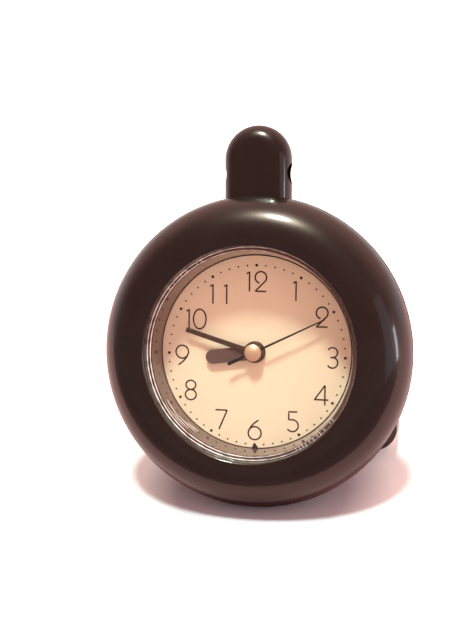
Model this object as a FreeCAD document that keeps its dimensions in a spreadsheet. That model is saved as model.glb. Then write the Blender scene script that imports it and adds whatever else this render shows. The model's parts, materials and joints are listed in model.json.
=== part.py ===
import FreeCAD, Part
import math
import os
import types

import Sketcher

Vector = FreeCAD.Vector

# Desk clock with a round-section ring, leaning back on its own lower corners.
# Own axes of every piece: X to the right, Y up the dial, Z out of the dial towards the viewer,
# with the dial's printed face at Z = 0. Placement then leans the whole clock back.

SIZES = (
    ("outer_radius", 50.0, "largest radius of the ring"),
    ("rim_round", 13.5, "radius of the ring's round section"),
    ("ring_setback", 0.5, "ring's widest plane behind the dial face"),
    ("roll_radius", 2.8, "tight roll at the window"),
    ("window_radius", 33.7, "inside of the window tube"),
    ("tube_wall", 1.8, "wall of the window tube and of the clamping tube"),
    ("wall", 2.2, "wall of the moulded case"),
    ("front_knee", 42.0, "degrees to the knee of the ring's front hollow"),
    ("rear_knee", 53.0, "degrees to the knee of the ring's rear hollow"),
    ("lean", 20.0, "degrees that the clock leans back"),
    ("parting_front", 1.1, "parting plane before the dial face"),
    ("gasket_thickness", 0.8, "case gasket at the parting plane"),
    ("gasket_recess", 0.7, "case gasket below the ring's skin"),
    ("gasket_width", 1.5, "case gasket across"),
    ("lens_front", 9.0, "front of the window before the dial face"),
    ("lens_thickness", 1.8, "window thickness"),
    ("lens_clearance", 0.1, "window in its tube"),
    ("spacer_wall", 1.4, "spacer between window and dial"),
    ("spacer_taper", 1.2, "spacer narrower at the dial"),
    ("flange_radius", 35.8, "spacer's foot flange"),
    ("flange_thickness", 1.3, "spacer's foot flange"),
    ("seal_thickness", 0.8, "spacer's gasket"),
    ("dial_radius", 30.5, "printed disc"),
    ("dial_thickness", 0.5, "printed disc"),
    ("notch_radius", 1.3, "locating notch at the foot of the dial"),
    ("plate_radius", 36.0, "carrier behind the dial"),
    ("plate_thickness", 2.0, "carrier behind the dial"),
    ("drum_radius", 43.0, "rear drum"),
    ("rear_depth", 42.0, "rear wall behind the dial face"),
    ("base_drop", 35.5, "flat underside below the clock's axis"),
    ("rear_round", 2.0, "round along the rear wall"),
    ("corner_round", 7.5, "lower corners of the housing"),
    ("shoulder_depth", 25.5, "where the lower corners leave the drum"),
    ("shoulder_slope", 0.42, "depth gained per radius along the shoulder"),
    ("neck_radius", 29.5, "opening for the rear cap"),
    ("neck_length", 6.0, "neck that carries the cap's thread"),
    ("cap_clearance", 0.2, "rear cap in its neck"),
    ("cap_radius", 32.0, "rear cap's flange"),
    ("cap_thickness", 2.0, "rear cap's flange and floor"),
    ("cap_seal_thickness", 0.8, "rear cap's seal"),
    ("dish_radius", 26.0, "finger dish in the rear cap"),
    ("grip_width", 5.0, "grip bar across the dish"),
    ("knurl_count", 24, "grip notches round the rear cap"),
    ("knurl_radius", 1.2, "grip notches round the rear cap"),
    ("screw_circle", 46.0, "case screws from the axis"),
    ("upper_screw_angle", 35.0, "case screws above the middle"),
    ("lower_screw_angle", 55.0, "case screws below the middle"),
    ("screw_radius", 1.3, "case screw shank"),
    ("screw_head_radius", 2.3, "case screw head"),
    ("screw_head_height", 1.8, "case screw head"),
    ("screw_seat_depth", 5.6, "under the case screws' heads"),
    ("screw_reach", 4.2, "case screws before the dial face"),
    ("boss_radius", 2.6, "screw bosses in the front half"),
    ("skin_margin", 0.5, "screw bosses below the ring's skin"),
    ("well_wall", 1.2, "wall round the screw wells"),
    ("hole_clearance", 0.2, "screws and heads in their holes"),
    ("tab_half_width", 10.9, "hanging tab"),
    ("tab_top", 72.6, "top of the hanging tab above the axis"),
    ("tab_front", 1.0, "tab's front face before the dial face"),
    ("tab_back", 10.4, "tab's rear face behind the dial face"),
    ("tab_round", 5.6, "full rounds of the tab's edges"),
    ("tab_bore_radius", 3.25, "hole through the tab from side to side"),
    ("tab_bore_height", 57.0, "hole above the axis"),
    ("tab_clearance", 0.1, "tab in its slot"),
    ("tab_root", 40.5, "foot of the tab inside the ring"),
    ("tab_root_height", 2.0, "foot of the tab inside the ring"),
    ("tab_root_half_width", 13.0, "foot of the tab inside the ring"),
    ("tab_root_inset", 3.5, "foot of the tab thinner than the tab"),
    ("tab_collar_height", 6.5, "square front corners of the tab's root, inside its slot"),
    ("pad_spacing", 28.0, "foot pads from the middle"),
    ("pad_width", 10.0, "foot pads"),
    ("pad_front_depth", 33.0, "foot pads begin behind the dial face"),
    ("pad_rear_margin", 1.2, "foot pads stop before the rear wall"),
    ("movement_half", 22.0, "movement case from its middle"),
    ("movement_wall", 1.5, "movement case"),
    ("movement_depth", 12.2, "movement case front to back"),
    ("cover_thickness", 1.2, "movement's front plate"),
    ("stem_radius", 2.5, "bushing through the dial"),
    ("stem_bore", 1.6, "bushing for the hour pipe"),
    ("stem_front", 1.0, "bushing before the dial face"),
    ("stem_clearance", 0.1, "bushing in the dial and its carrier"),
    ("washer_thickness", 0.3, "washer behind the carrier"),
    ("washer_radius", 6.0, "washer behind the carrier"),
    ("nut_radius", 3.5, "round nut on the bushing"),
    ("nut_thickness", 0.9, "round nut on the bushing"),
    ("running_clearance", 0.05, "shafts in their bearings"),
    ("arbor_radius", 0.5, "seconds arbor"),
    ("pivot_radius", 0.4, "pivots of the small arbors"),
    ("pivot_depth", 0.6, "pivots in the plates"),
    ("tube_radius", 1.0, "minute tube"),
    ("pipe_radius", 1.55, "hour pipe"),
    ("tip_share", 0.2, "tooth's part of the pitch at its tip"),
    ("root_share", 0.5, "tooth's part of the pitch at its root"),
    ("addendum", 0.8, "tooth above the pitch circle, in modules"),
    ("dedendum", 1.15, "tooth below the pitch circle, in modules"),
    ("wheel_thickness", 0.8, "all wheels"),
    ("pinion_overhang", 0.2, "pinions longer than the wheel they drive, each side"),
    ("step_gap", 0.6, "between one wheel and the next behind it"),
    ("first_step", 0.4, "hour wheel behind the front plate"),
    ("rotor_pinion_teeth", 8, "rotor pinion"),
    ("intermediate_teeth", 40, "intermediate wheel"),
    ("intermediate_pinion_teeth", 10, "intermediate pinion"),
    ("second_teeth", 60, "second wheel"),
    ("second_pinion_teeth", 8, "second pinion"),
    ("third_teeth", 64, "third wheel"),
    ("third_pinion_teeth", 8, "third pinion"),
    ("centre_teeth", 60, "centre wheel"),
    ("cannon_teeth", 12, "cannon pinion"),
    ("minute_teeth", 36, "minute wheel"),
    ("minute_pinion_teeth", 10, "minute pinion"),
    ("hour_teeth", 40, "hour wheel"),
    ("fine_module", 0.25, "rotor and intermediate gearing"),
    ("third_module", 0.3, "second pinion and third wheel"),
    ("hour_module", 0.3, "minute pinion and hour wheel"),
    ("third_direction", 150.0, "degrees from the centre to the third wheel"),
    ("intermediate_direction", -23.6, "degrees from the centre to the intermediate wheel"),
    ("rotor_direction", -33.4, "degrees from the intermediate wheel to the rotor"),
    ("motion_direction", 90.0, "degrees from the centre to the minute wheel and setting pinion"),
    ("magnet_radius", 2.4, "rotor magnet"),
    ("magnet_length", 3.0, "rotor magnet"),
    ("magnet_air", 0.6, "air between the magnet and the stator"),
    ("stator_thickness", 0.8, "stator and coil core"),
    ("coil_drop", 16.0, "coil below the centre"),
    ("coil_half_length", 11.0, "coil bobbin"),
    ("coil_flange_radius", 3.5, "coil bobbin"),
    ("coil_wire_radius", 3.2, "outside of the winding"),
    ("coil_barrel_radius", 1.5, "coil bobbin"),
    ("coil_flange_thickness", 0.8, "coil bobbin"),
    ("core_half_length", 17.0, "coil core"),
    ("core_width", 2.0, "coil core"),
    ("yoke_width", 1.7, "stator's upper limb"),
    ("yoke_foot", 5.0, "stator's feet along the core"),
    ("yoke_rim", 2.2, "stator round the rotor"),
    ("board_left", 9.5, "circuit board"),
    ("board_width", 7.5, "circuit board"),
    ("board_bottom", 8.0, "circuit board"),
    ("board_height", 12.0, "circuit board"),
    ("board_thickness", 0.8, "circuit board"),
    ("board_margin", 0.5, "chip above the circuit board's lower edge"),
    ("crystal_inset", 1.0, "crystal can from the circuit board's upper edge"),
    ("crystal_radius", 1.0, "crystal can"),
    ("crystal_length", 6.0, "crystal can"),
    ("chip_size", 4.0, "driver chip"),
    ("chip_height", 1.2, "driver chip"),
    ("case_screw_inset", 2.6, "movement screws from the case's sides"),
    ("small_screw_radius", 0.8, "movement screws"),
    ("small_head_radius", 1.6, "movement screws"),
    ("small_head_height", 1.0, "movement screws"),
    ("post_radius", 1.7, "movement's corner posts"),
    ("cell_length", 49.2, "cell without its nub"),
    ("cell_radius", 7.2, "cell"),
    ("nub_radius", 2.75, "cell's nub"),
    ("nub_length", 1.3, "cell's nub"),
    ("cell_drop", 6.0, "cell below the centre"),
    ("tray_wall", 1.3, "cell tray"),
    ("contact_thickness", 0.4, "cell contacts"),
    ("contact_width", 8.0, "cell contacts"),
    ("knob_radius", 8.0, "setting knob"),
    ("knob_height", 6.0, "setting knob"),
    ("knob_hub_radius", 3.0, "setting knob's hub"),
    ("knob_end_depth", 28.5, "setting knob's end behind the dial face"),
    ("knob_notch_count", 18, "grip notches round the setting knob"),
    ("knob_notch_radius", 0.9, "grip notches round the setting knob"),
    ("setting_arbor_radius", 1.0, "setting arbor"),
    ("hour_hand_height", 1.3, "hour hand before the dial face"),
    ("hour_hand_length", 16.0, "hour hand"),
    ("hour_hand_width", 4.6, "hour hand"),
    ("hour_hub_radius", 3.2, "hour hand's hub"),
    ("hour_angle", 263.0, "hour hand, degrees clockwise from 12"),
    ("minute_hand_height", 2.1, "minute hand before the dial face"),
    ("minute_hand_length", 23.3, "minute hand"),
    ("minute_hand_width", 1.75, "minute hand"),
    ("minute_tip_width", 1.5, "minute hand at its tip"),
    ("minute_hub_radius", 2.4, "minute hand's hub"),
    ("minute_angle", 287.7, "minute hand, degrees clockwise from 12"),
    ("second_hand_height", 2.95, "second hand before the dial face"),
    ("second_hand_length", 23.7, "second hand"),
    ("second_root_width", 0.75, "second hand at its hub"),
    ("second_tip_width", 0.4, "second hand at its tip"),
    ("second_tail_length", 9.0, "second hand's tail"),
    ("second_tail_width", 1.0, "second hand's tail"),
    ("second_hub_radius", 1.6, "second hand's hub"),
    ("second_angle", 64.8, "second hand, degrees clockwise from 12"),
    ("hand_thickness", 0.35, "all hands"),
    ("cap_dome_radius", 2.7, "domed cap on the second hand"),
    ("cap_dome_height", 1.3, "domed cap on the second hand"),
    ("cap_dome_edge", 0.4, "straight edge of the domed cap"),
)


class Size:
    """A size of the sheet, or a sum made from such sizes, with the text that binds a feature to it."""

    def __init__(self, text, value):
        self.text = text
        self.value = float(value)

    def __add__(self, other):
        return combine(self, "+", other)

    def __radd__(self, other):
        return combine(other, "+", self)

    def __sub__(self, other):
        return combine(self, "-", other)

    def __rsub__(self, other):
        return combine(other, "-", self)

    def __mul__(self, other):
        return combine(self, "*", other)

    def __rmul__(self, other):
        return combine(other, "*", self)

    def __truediv__(self, other):
        return combine(self, "/", other)

    def __rtruediv__(self, other):
        return combine(other, "/", self)

    def __neg__(self):
        return combine(0, "-", self)


def as_size(value):
    if isinstance(value, Size):
        return value
    return Size(f"({float(value)})" if value < 0 else f"{float(value)}", value)


def combine(left, sign, right):
    left = as_size(left)
    right = as_size(right)
    value = {
        "+": left.value + right.value,
        "-": left.value - right.value,
        "*": left.value * right.value,
        "/": left.value / right.value if right.value else 0.0,
    }[sign]
    return Size(f"({left.text} {sign} {right.text})", value)


def root(value):
    value = as_size(value)
    return Size(f"sqrt({value.text})", math.sqrt(value.value))


def sine(angle):
    angle = as_size(angle)
    return Size(f"sin({angle.text})", math.sin(math.radians(angle.value)))


def cosine(angle):
    angle = as_size(angle)
    return Size(f"cos({angle.text})", math.cos(math.radians(angle.value)))


def leg(hypotenuse, other):
    """The other short side of a right-angled triangle."""
    return root(hypotenuse * hypotenuse - other * other)


doc = FreeCAD.newDocument("desk_clock")
sheet = doc.addObject("Spreadsheet::Sheet", "sizes")
for row, (alias, amount, meaning) in enumerate(SIZES, start=1):
    sheet.set(f"A{row}", meaning)
    sheet.set(f"B{row}", str(amount))
    sheet.setAlias(f"B{row}", alias)
doc.recompute()
s = types.SimpleNamespace(**{alias: Size(f"sizes.{alias}", amount) for alias, amount, _ in SIZES})
pieces = []

# Values that several pieces share, all worked out from the sheet

ring_centre = s.outer_radius - s.rim_round
ring_plane = -s.ring_setback
hollow_round = s.rim_round - s.wall
parting = s.parting_front
shell_front = parting - s.gasket_thickness
plate_front = -s.dial_thickness
plate_back = plate_front - s.plate_thickness
window_back = s.lens_front - s.lens_thickness
seal_back = plate_front + s.flange_thickness
seal_front = seal_back + s.seal_thickness
rear_face = -s.rear_depth
rear_inside = rear_face + s.wall
underside = -s.base_drop
corner_reach = s.corner_round + root(
    (s.drum_radius - s.corner_round) * (s.drum_radius - s.corner_round)
    + (s.base_drop - s.corner_round) * (s.base_drop - s.corner_round)
)
ring_back = ring_plane - s.rim_round
lift = ring_centre * cosine(s.lean) + s.ring_setback * sine(s.lean) + s.rim_round

ring_front_reach = ring_centre * sine(s.lean) - s.ring_setback * cosine(s.lean) + s.rim_round
drum_back_reach = (
    (s.drum_radius - s.rear_round) * sine(s.lean)
    + (s.rear_depth - s.rear_round) * cosine(s.lean)
    + s.rear_round
)
forward = (ring_front_reach - drum_back_reach) / 2

movement_front = plate_back - s.washer_thickness
cover_back = movement_front - s.cover_thickness
movement_back = movement_front - s.movement_depth
movement_inside = movement_back + s.movement_wall

hour_wheel_front = cover_back - s.first_step
minute_wheel_front = hour_wheel_front - s.wheel_thickness - s.step_gap
centre_wheel_front = minute_wheel_front - s.wheel_thickness - s.step_gap
third_wheel_front = centre_wheel_front - s.wheel_thickness - s.step_gap
second_wheel_front = third_wheel_front - s.wheel_thickness - s.step_gap
intermediate_wheel_front = second_wheel_front - s.wheel_thickness - s.step_gap

third_reach = (s.second_pinion_teeth + s.third_teeth) / 2 * s.third_module
centre_module = third_reach / ((s.third_pinion_teeth + s.centre_teeth) / 2)
third_x = third_reach * cosine(s.third_direction)
third_y = third_reach * sine(s.third_direction)
intermediate_reach = (s.intermediate_pinion_teeth + s.second_teeth) / 2 * s.fine_module
intermediate_x = intermediate_reach * cosine(s.intermediate_direction)
intermediate_y = intermediate_reach * sine(s.intermediate_direction)
rotor_reach = (s.rotor_pinion_teeth + s.intermediate_teeth) / 2 * s.fine_module
rotor_x = intermediate_x + rotor_reach * cosine(s.rotor_direction)
rotor_y = intermediate_y + rotor_reach * sine(s.rotor_direction)
minute_reach = (s.minute_pinion_teeth + s.hour_teeth) / 2 * s.hour_module
minute_module = minute_reach / ((s.cannon_teeth + s.minute_teeth) / 2)
minute_x = minute_reach * cosine(s.motion_direction)
minute_y = minute_reach * sine(s.motion_direction)
setting_x = 2 * minute_x
setting_y = 2 * minute_y

stator_front = third_wheel_front + s.pinion_overhang
stator_back = stator_front - s.stator_thickness
magnet_front = (stator_front + stator_back + s.magnet_length) / 2
core_back = stator_back - s.stator_thickness
core_middle = (stator_back + core_back) / 2

tray_floor = movement_back - s.tray_wall
cell_axis = tray_floor - s.cell_radius
cap_seat = rear_face - s.cap_seal_thickness
cap_face = cap_seat - s.cap_thickness

screw_spots = (
    (s.screw_circle * cosine(s.upper_screw_angle), s.screw_circle * sine(s.upper_screw_angle)),
    (s.screw_circle * cosine(s.lower_screw_angle), -s.screw_circle * sine(s.lower_screw_angle)),
)
small_screw_spot = s.movement_half - s.case_screw_inset


# Small tools: bodies, sketches and features bound to the sheet

def place(piece):
    """Leans the piece back and lifts it so that the clock stands on the table."""
    turn = FreeCAD.Rotation(Vector(1, 0, 0), 90 - s.lean.value)
    piece.Placement = FreeCAD.Placement(Vector(0, forward.value, lift.value), turn)
    if not piece.isDerivedFrom("PartDesign::Body"):
        return
    piece.setExpression("Placement.Base.y", forward.text)
    piece.setExpression("Placement.Base.z", lift.text)
    piece.setExpression("Placement.Rotation.Angle", (90 - s.lean).text)


def new_body(label):
    piece = doc.addObject("PartDesign::Body", label)
    piece.Label = label
    place(piece)
    pieces.append(piece)
    return piece


def new_sketch(piece, role, along=0, across=0, up=0):
    """A sketch on one of the body's own planes, moved along its normal and within the plane."""
    plane = next(item for item in piece.Origin.OriginFeatures if item.Role == role)
    made = piece.newObject("Sketcher::SketchObject", piece.Label + "_sketch")
    made.AttachmentSupport = (plane, [""])
    made.MapMode = "FlatFace"
    for axis, amount in (("x", across), ("y", up), ("z", along)):
        if isinstance(amount, Size) or amount:
            made.setExpression(f"AttachmentOffset.Base.{axis}", as_size(amount).text)
    return made


def bind(made, index, amount):
    if isinstance(amount, Size):
        made.setExpression(f"Constraints[{index}]", amount.text)


def fix_point(made, geometry, position, x, y):
    """Ties a point to the sketch's origin by its two distances."""
    for kind, axis, amount in (("DistanceX", -2, x), ("DistanceY", -1, y)):
        if not isinstance(amount, Size) and amount == 0:
            made.addConstraint(Sketcher.Constraint("PointOnObject", geometry, position, axis))
            continue
        value = as_size(amount).value
        index = made.addConstraint(Sketcher.Constraint(kind, -1, 1, geometry, position, value))
        bind(made, index, amount)


def arc_through(start, end, radius, turn):
    """The circle and angles of the arc from start to end that turns left (1) or right (-1)."""
    chord = end - start
    middle = (start + end) / 2
    height = math.sqrt(max(radius * radius - chord.Length ** 2 / 4, 0.0))
    side = Vector(-chord.y, chord.x, 0).normalize()
    centre = middle + side * height * turn
    first = math.atan2(start.y - centre.y, start.x - centre.x)
    last = math.atan2(end.y - centre.y, end.x - centre.x)
    if turn < 0:
        first, last = last, first
    return Part.ArcOfCircle(Part.Circle(centre, Vector(0, 0, 1), radius), first, last)


def add_outline(made, corners):
    """Draws a closed outline. A corner is (x, y), or (x, y, radius, turn) when an arc leads to it."""
    spots = [Vector(as_size(corner[0]).value, as_size(corner[1]).value, 0) for corner in corners]
    ends = []
    for number, corner in enumerate(corners):
        start = spots[number - 1]
        if len(corner) == 2:
            made_id = made.addGeometry(Part.LineSegment(start, spots[number]), False)
            ends.append((made_id, 1, 2))
        else:
            radius = as_size(corner[2]).value
            made_id = made.addGeometry(arc_through(start, spots[number], radius, corner[3]), False)
            ends.append((made_id, 1, 2) if corner[3] > 0 else (made_id, 2, 1))
    for number, corner in enumerate(corners):
        made_id, _, end = ends[number]
        next_id, next_start, _ = ends[(number + 1) % len(corners)]
        made.addConstraint(Sketcher.Constraint("Coincident", made_id, end, next_id, next_start))
        fix_point(made, made_id, end, corner[0], corner[1])
    for number, corner in enumerate(corners):
        if len(corner) == 4:
            radius = as_size(corner[2]).value
            index = made.addConstraint(Sketcher.Constraint("Radius", ends[number][0], radius))
            bind(made, index, corner[2])


def add_circle(made, radius, x=0, y=0):
    centre = Vector(as_size(x).value, as_size(y).value, 0)
    made_id = made.addGeometry(Part.Circle(centre, Vector(0, 0, 1), as_size(radius).value), False)
    fix_point(made, made_id, 3, x, y)
    index = made.addConstraint(Sketcher.Constraint("Radius", made_id, as_size(radius).value))
    bind(made, index, radius)


def add_box(made, left, bottom, right, top):
    add_outline(made, ((left, bottom), (right, bottom), (right, top), (left, top)))


def extrude(piece, kind, profile, length, backwards):
    made = piece.newObject(kind, piece.Label + "_step")
    made.Profile = profile
    made.Length = as_size(length).value
    if isinstance(length, Size):
        made.setExpression("Length", length.text)
    made.Reversed = backwards
    return made


def pad(piece, profile, length, backwards=False):
    return extrude(piece, "PartDesign::Pad", profile, length, backwards)


def pocket(piece, profile, length, forwards=False):
    return extrude(piece, "PartDesign::Pocket", profile, length, forwards)


def revolve(piece, kind, corners, x=0, y=0):
    """Turns a half section, drawn as radius and Z, about an axis parallel to the clock's."""
    profile = new_sketch(piece, "XZ_Plane", along=-y if isinstance(y, Size) or y else 0, across=x)
    add_outline(profile, corners)
    made = piece.newObject(kind, piece.Label + "_turned")
    made.Profile = profile
    made.ReferenceAxis = (profile, ["V_Axis"])
    made.Angle = 360
    return made


def turn(piece, corners, x=0, y=0):
    return revolve(piece, "PartDesign::Revolution", corners, x, y)


def groove(piece, corners, x=0, y=0):
    return revolve(piece, "PartDesign::Groove", corners, x, y)


def ring_section(inner, outer, back, front):
    return ((inner, back), (outer, back), (outer, front), (inner, front))


def mirror_pair(piece, features):
    """Repeats features on the left as on the right."""
    plane = next(item for item in piece.Origin.OriginFeatures if item.Role == "YZ_Plane")
    made = piece.newObject("PartDesign::Mirrored", piece.Label + "_pair")
    made.Originals = features
    made.MirrorPlane = (plane, [""])
    piece.Tip = made
    return made


def repeat_round(piece, feature, profile, count):
    """Repeats a feature round the axis through its sketch's origin."""
    made = piece.newObject("PartDesign::PolarPattern", piece.Label + "_round")
    made.Originals = [feature]
    made.Axis = (profile, ["N_Axis"])
    made.Angle = 360
    made.Occurrences = int(as_size(count).value)
    if isinstance(count, Size):
        made.setExpression("Occurrences", count.text)
    piece.Tip = made
    return made


def round_edges(piece, edges, radius):
    """Rounds the edges of the body's last shape that the test picks."""
    doc.recompute()
    base = piece.Tip
    names = [f"Edge{n}" for n, edge in enumerate(base.Shape.Edges, start=1) if edges(edge)]
    made = piece.newObject("PartDesign::Fillet", piece.Label + "_round")
    made.Base = (base, names)
    made.Radius = radius.value
    made.setExpression("Radius", radius.text)
    return made


def near(a, b):
    return abs(a - b) < 1e-4


def in_plane(edge, height):
    box = edge.BoundBox
    return near(box.ZMin, height.value) and near(box.ZMax, height.value)


# Toothed wheels

def mesh_phase(direction, driver_phase, driver_teeth, teeth):
    """Angle of a tooth that sits the follower's teeth between the driver's at rest."""
    return direction + 180 + (direction - driver_phase) * driver_teeth / teeth - 180 / teeth


def toothed(piece, teeth, module, phase, front, thickness, x=0, y=0):
    """A toothed disc: a blank of the tip circle with one tooth space cut and repeated round it."""
    pitch_radius = teeth * module / 2
    tip_radius = pitch_radius + s.addendum * module
    root_radius = pitch_radius - s.dedendum * module
    clear_radius = tip_radius + module
    blank = new_sketch(piece, "XY_Plane", along=front, across=x, up=y)
    add_circle(blank, tip_radius)
    pad(piece, blank, thickness, backwards=True)
    space = new_sketch(piece, "XY_Plane", along=front, across=x, up=y)
    middle = phase + 180 / teeth
    sides = (
        (clear_radius, (1 - s.tip_share) * 180 / teeth),
        (root_radius, (1 - s.root_share) * 180 / teeth),
    )
    right = [(radius * cosine(middle - half), radius * sine(middle - half)) for radius, half in sides]
    left = [(radius * cosine(middle + half), radius * sine(middle + half)) for radius, half in sides]
    add_outline(space, right + left[::-1])
    cut = pocket(piece, space, thickness)
    repeat_round(piece, cut, space, teeth)


# The case

def make_front_bezel():
    """Front half of the ring, hollow, with the window tube and screw bosses."""
    piece = new_body("front_bezel")
    depth = parting - ring_plane
    skin_end = ring_centre + leg(s.rim_round, depth)
    hollow_end = ring_centre + leg(hollow_round, depth)
    roll_start = s.window_radius + s.roll_radius
    crest = ring_plane + leg(s.rim_round, roll_start - ring_centre)
    tube_outside = s.window_radius + s.tube_wall
    hollow_top = ring_plane + leg(hollow_round, ring_centre - tube_outside)
    turn(piece, (
        (ring_centre + hollow_round * cosine(s.front_knee), ring_plane + hollow_round * sine(s.front_knee)),
        (hollow_end, parting),
        (skin_end, parting),
        (roll_start, crest, s.rim_round, 1),
        (s.window_radius, crest - s.roll_radius, s.roll_radius, 1),
        (s.window_radius, seal_front),
        (tube_outside, seal_front),
        (tube_outside, hollow_top),
    ))
    boss_edge = s.screw_circle + s.boss_radius
    boss_reach = ring_plane + leg(s.rim_round, boss_edge - ring_centre) - s.skin_margin
    bosses = new_sketch(piece, "XY_Plane", along=parting)
    for x, y in screw_spots:
        add_circle(bosses, s.boss_radius, x, y)
    bosses = pad(piece, bosses, boss_reach - parting)
    holes = new_sketch(piece, "XY_Plane", along=parting)
    for x, y in screw_spots:
        add_circle(holes, s.screw_radius, x, y)
    holes = pocket(piece, holes, s.screw_reach - parting, forwards=True)
    mirror_pair(piece, [bosses, holes])


def make_rear_housing():
    """Rear half of the ring with the tab's slot, the drum, its flat underside and two lower corners."""
    piece = new_body("rear_housing")
    gasket_depth = shell_front - ring_plane
    skin_at_drum = ring_plane - leg(s.rim_round, s.drum_radius - ring_centre)
    skin_end = ring_centre + leg(s.rim_round, gasket_depth)
    hollow_end = ring_centre + leg(hollow_round, gasket_depth)
    turn(piece, (
        (0, plate_back),
        (0, ring_back),
        (ring_centre, ring_back),
        (skin_end, shell_front, s.rim_round, 1),
        (ring_centre, shell_front),
        (ring_centre, plate_back),
    ))
    drum = new_sketch(piece, "XY_Plane", along=rear_face)
    chord = leg(s.drum_radius, s.base_drop)
    add_outline(drum, (
        (chord, underside),
        (s.drum_radius, 0, s.drum_radius, 1),
        (0, s.drum_radius, s.drum_radius, 1),
        (-s.drum_radius, 0, s.drum_radius, 1),
        (-chord, underside, s.drum_radius, 1),
    ))
    pad(piece, drum, s.rear_depth - s.rim_round / 2)
    corners = new_sketch(piece, "XY_Plane", along=rear_face)
    add_arch(corners, 0)
    pad(piece, corners, s.rear_depth - s.shoulder_depth)
    far = corner_reach + s.wall
    shoulder = -s.shoulder_depth
    groove(piece, (
        (s.drum_radius, shoulder),
        (far, shoulder - (far - s.drum_radius) * s.shoulder_slope),
        (far, shoulder + s.wall),
        (s.drum_radius, shoulder + s.wall),
    ))
    round_edges(piece, lambda edge: in_plane(edge, rear_face), s.rear_round)
    tube_outside = s.plate_radius
    hollow_back = ring_plane - leg(hollow_round, ring_centre - tube_outside)
    groove(piece, (
        (tube_outside, parting),
        (tube_outside, hollow_back),
        (ring_centre + hollow_round * cosine(s.rear_knee), ring_plane - hollow_round * sine(s.rear_knee)),
        (hollow_end, shell_front),
        (hollow_end, parting),
    ))
    well_radius = s.screw_head_radius + s.hole_clearance
    bosses = new_sketch(piece, "XY_Plane", along=shell_front)
    for x, y in screw_spots:
        add_circle(bosses, well_radius + s.well_wall, x, y)
    bosses = pad(piece, bosses, shell_front - skin_at_drum, backwards=True)
    holes = new_sketch(piece, "XY_Plane", along=shell_front)
    for x, y in screw_spots:
        add_circle(holes, s.screw_radius + s.hole_clearance, x, y)
    holes = pocket(piece, holes, s.rim_round)
    wells = new_sketch(piece, "XY_Plane", along=-s.screw_seat_depth)
    for x, y in screw_spots:
        add_circle(wells, well_radius, x, y)
    wells = pocket(piece, wells, s.rim_round)
    mirror_pair(piece, [bosses, holes, wells])
    groove(piece, (
        (skin_end, shell_front, s.rim_round, 1),
        (far, shell_front),
        (far, skin_at_drum),
        (s.drum_radius, skin_at_drum),
    ))
    inside = new_sketch(piece, "XY_Plane", along=plate_back)
    add_circle(inside, s.plate_radius - s.tube_wall)
    pocket(piece, inside, plate_back - rear_inside)
    drum_inside = s.drum_radius - s.wall
    inside_floor = underside + s.wall
    inside_chord = leg(drum_inside, s.base_drop - s.wall)
    hollow = new_sketch(piece, "XY_Plane", along=rear_inside)
    add_outline(hollow, (
        (inside_chord, inside_floor),
        (drum_inside, 0, drum_inside, 1),
        (0, drum_inside, drum_inside, 1),
        (-drum_inside, 0, drum_inside, 1),
        (-inside_chord, inside_floor, drum_inside, 1),
    ))
    pocket(piece, hollow, s.rear_depth - s.wall + ring_back, forwards=True)
    corner_hollow = new_sketch(piece, "XY_Plane", along=rear_inside)
    add_arch(corner_hollow, s.wall)
    shoulder_reach = (corner_reach - s.drum_radius) * s.shoulder_slope
    pocket(piece, corner_hollow, s.rear_depth - 2 * s.wall - s.shoulder_depth - shoulder_reach,
           forwards=True)
    neck = new_sketch(piece, "XY_Plane", along=rear_inside)
    add_circle(neck, s.neck_radius + s.wall)
    add_circle(neck, s.neck_radius)
    pad(piece, neck, s.neck_length - s.wall)
    mouth = new_sketch(piece, "XY_Plane", along=rear_face)
    add_circle(mouth, s.neck_radius)
    pocket(piece, mouth, s.wall, forwards=True)
    cut_tab_slot(piece)


def cut_tab_slot(piece):
    """Slot that the hanging tab stands in: round at the back, open at the parting plane."""
    slot_floor = s.tab_root + s.tab_root_height - s.tab_clearance
    half = s.tab_half_width + s.tab_clearance
    back = -s.tab_back - s.tab_clearance
    corner = s.tab_round + s.tab_clearance
    slot = new_sketch(piece, "XZ_Plane", along=-slot_floor)
    add_outline(slot, (
        (half, back + corner, corner, 1),
        (half, parting),
        (-half, parting),
        (-half, back + corner),
        (corner - half, back, corner, 1),
        (half - corner, back),
    ))
    pocket(piece, slot, s.outer_radius + s.wall - slot_floor)


def add_arch(made, inset):
    """The housing's lower outline: straight sides, rounded corners and the flat underside."""
    side = s.drum_radius - inset
    floor = underside + inset
    corner = s.corner_round - inset
    add_outline(made, (
        (side, 0),
        (-side, 0),
        (-side, floor + corner),
        (-side + corner, floor, corner, 1),
        (side - corner, floor),
        (side, floor + corner, corner, 1),
    ))


def make_case_gasket():
    """Soft ring between the two halves, sunk a little below the skin."""
    piece = new_body("case_gasket")
    depth = shell_front - ring_plane
    outer = ring_centre + leg(s.rim_round, depth) - s.gasket_recess
    turn(piece, ring_section(outer - s.gasket_width, outer, shell_front, parting))
    slot = new_sketch(piece, "XY_Plane", along=shell_front)
    half = s.tab_half_width + s.tab_clearance
    add_box(slot, -half, 0, half, s.outer_radius + s.wall)
    pocket(piece, slot, s.gasket_thickness, forwards=True)


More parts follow.
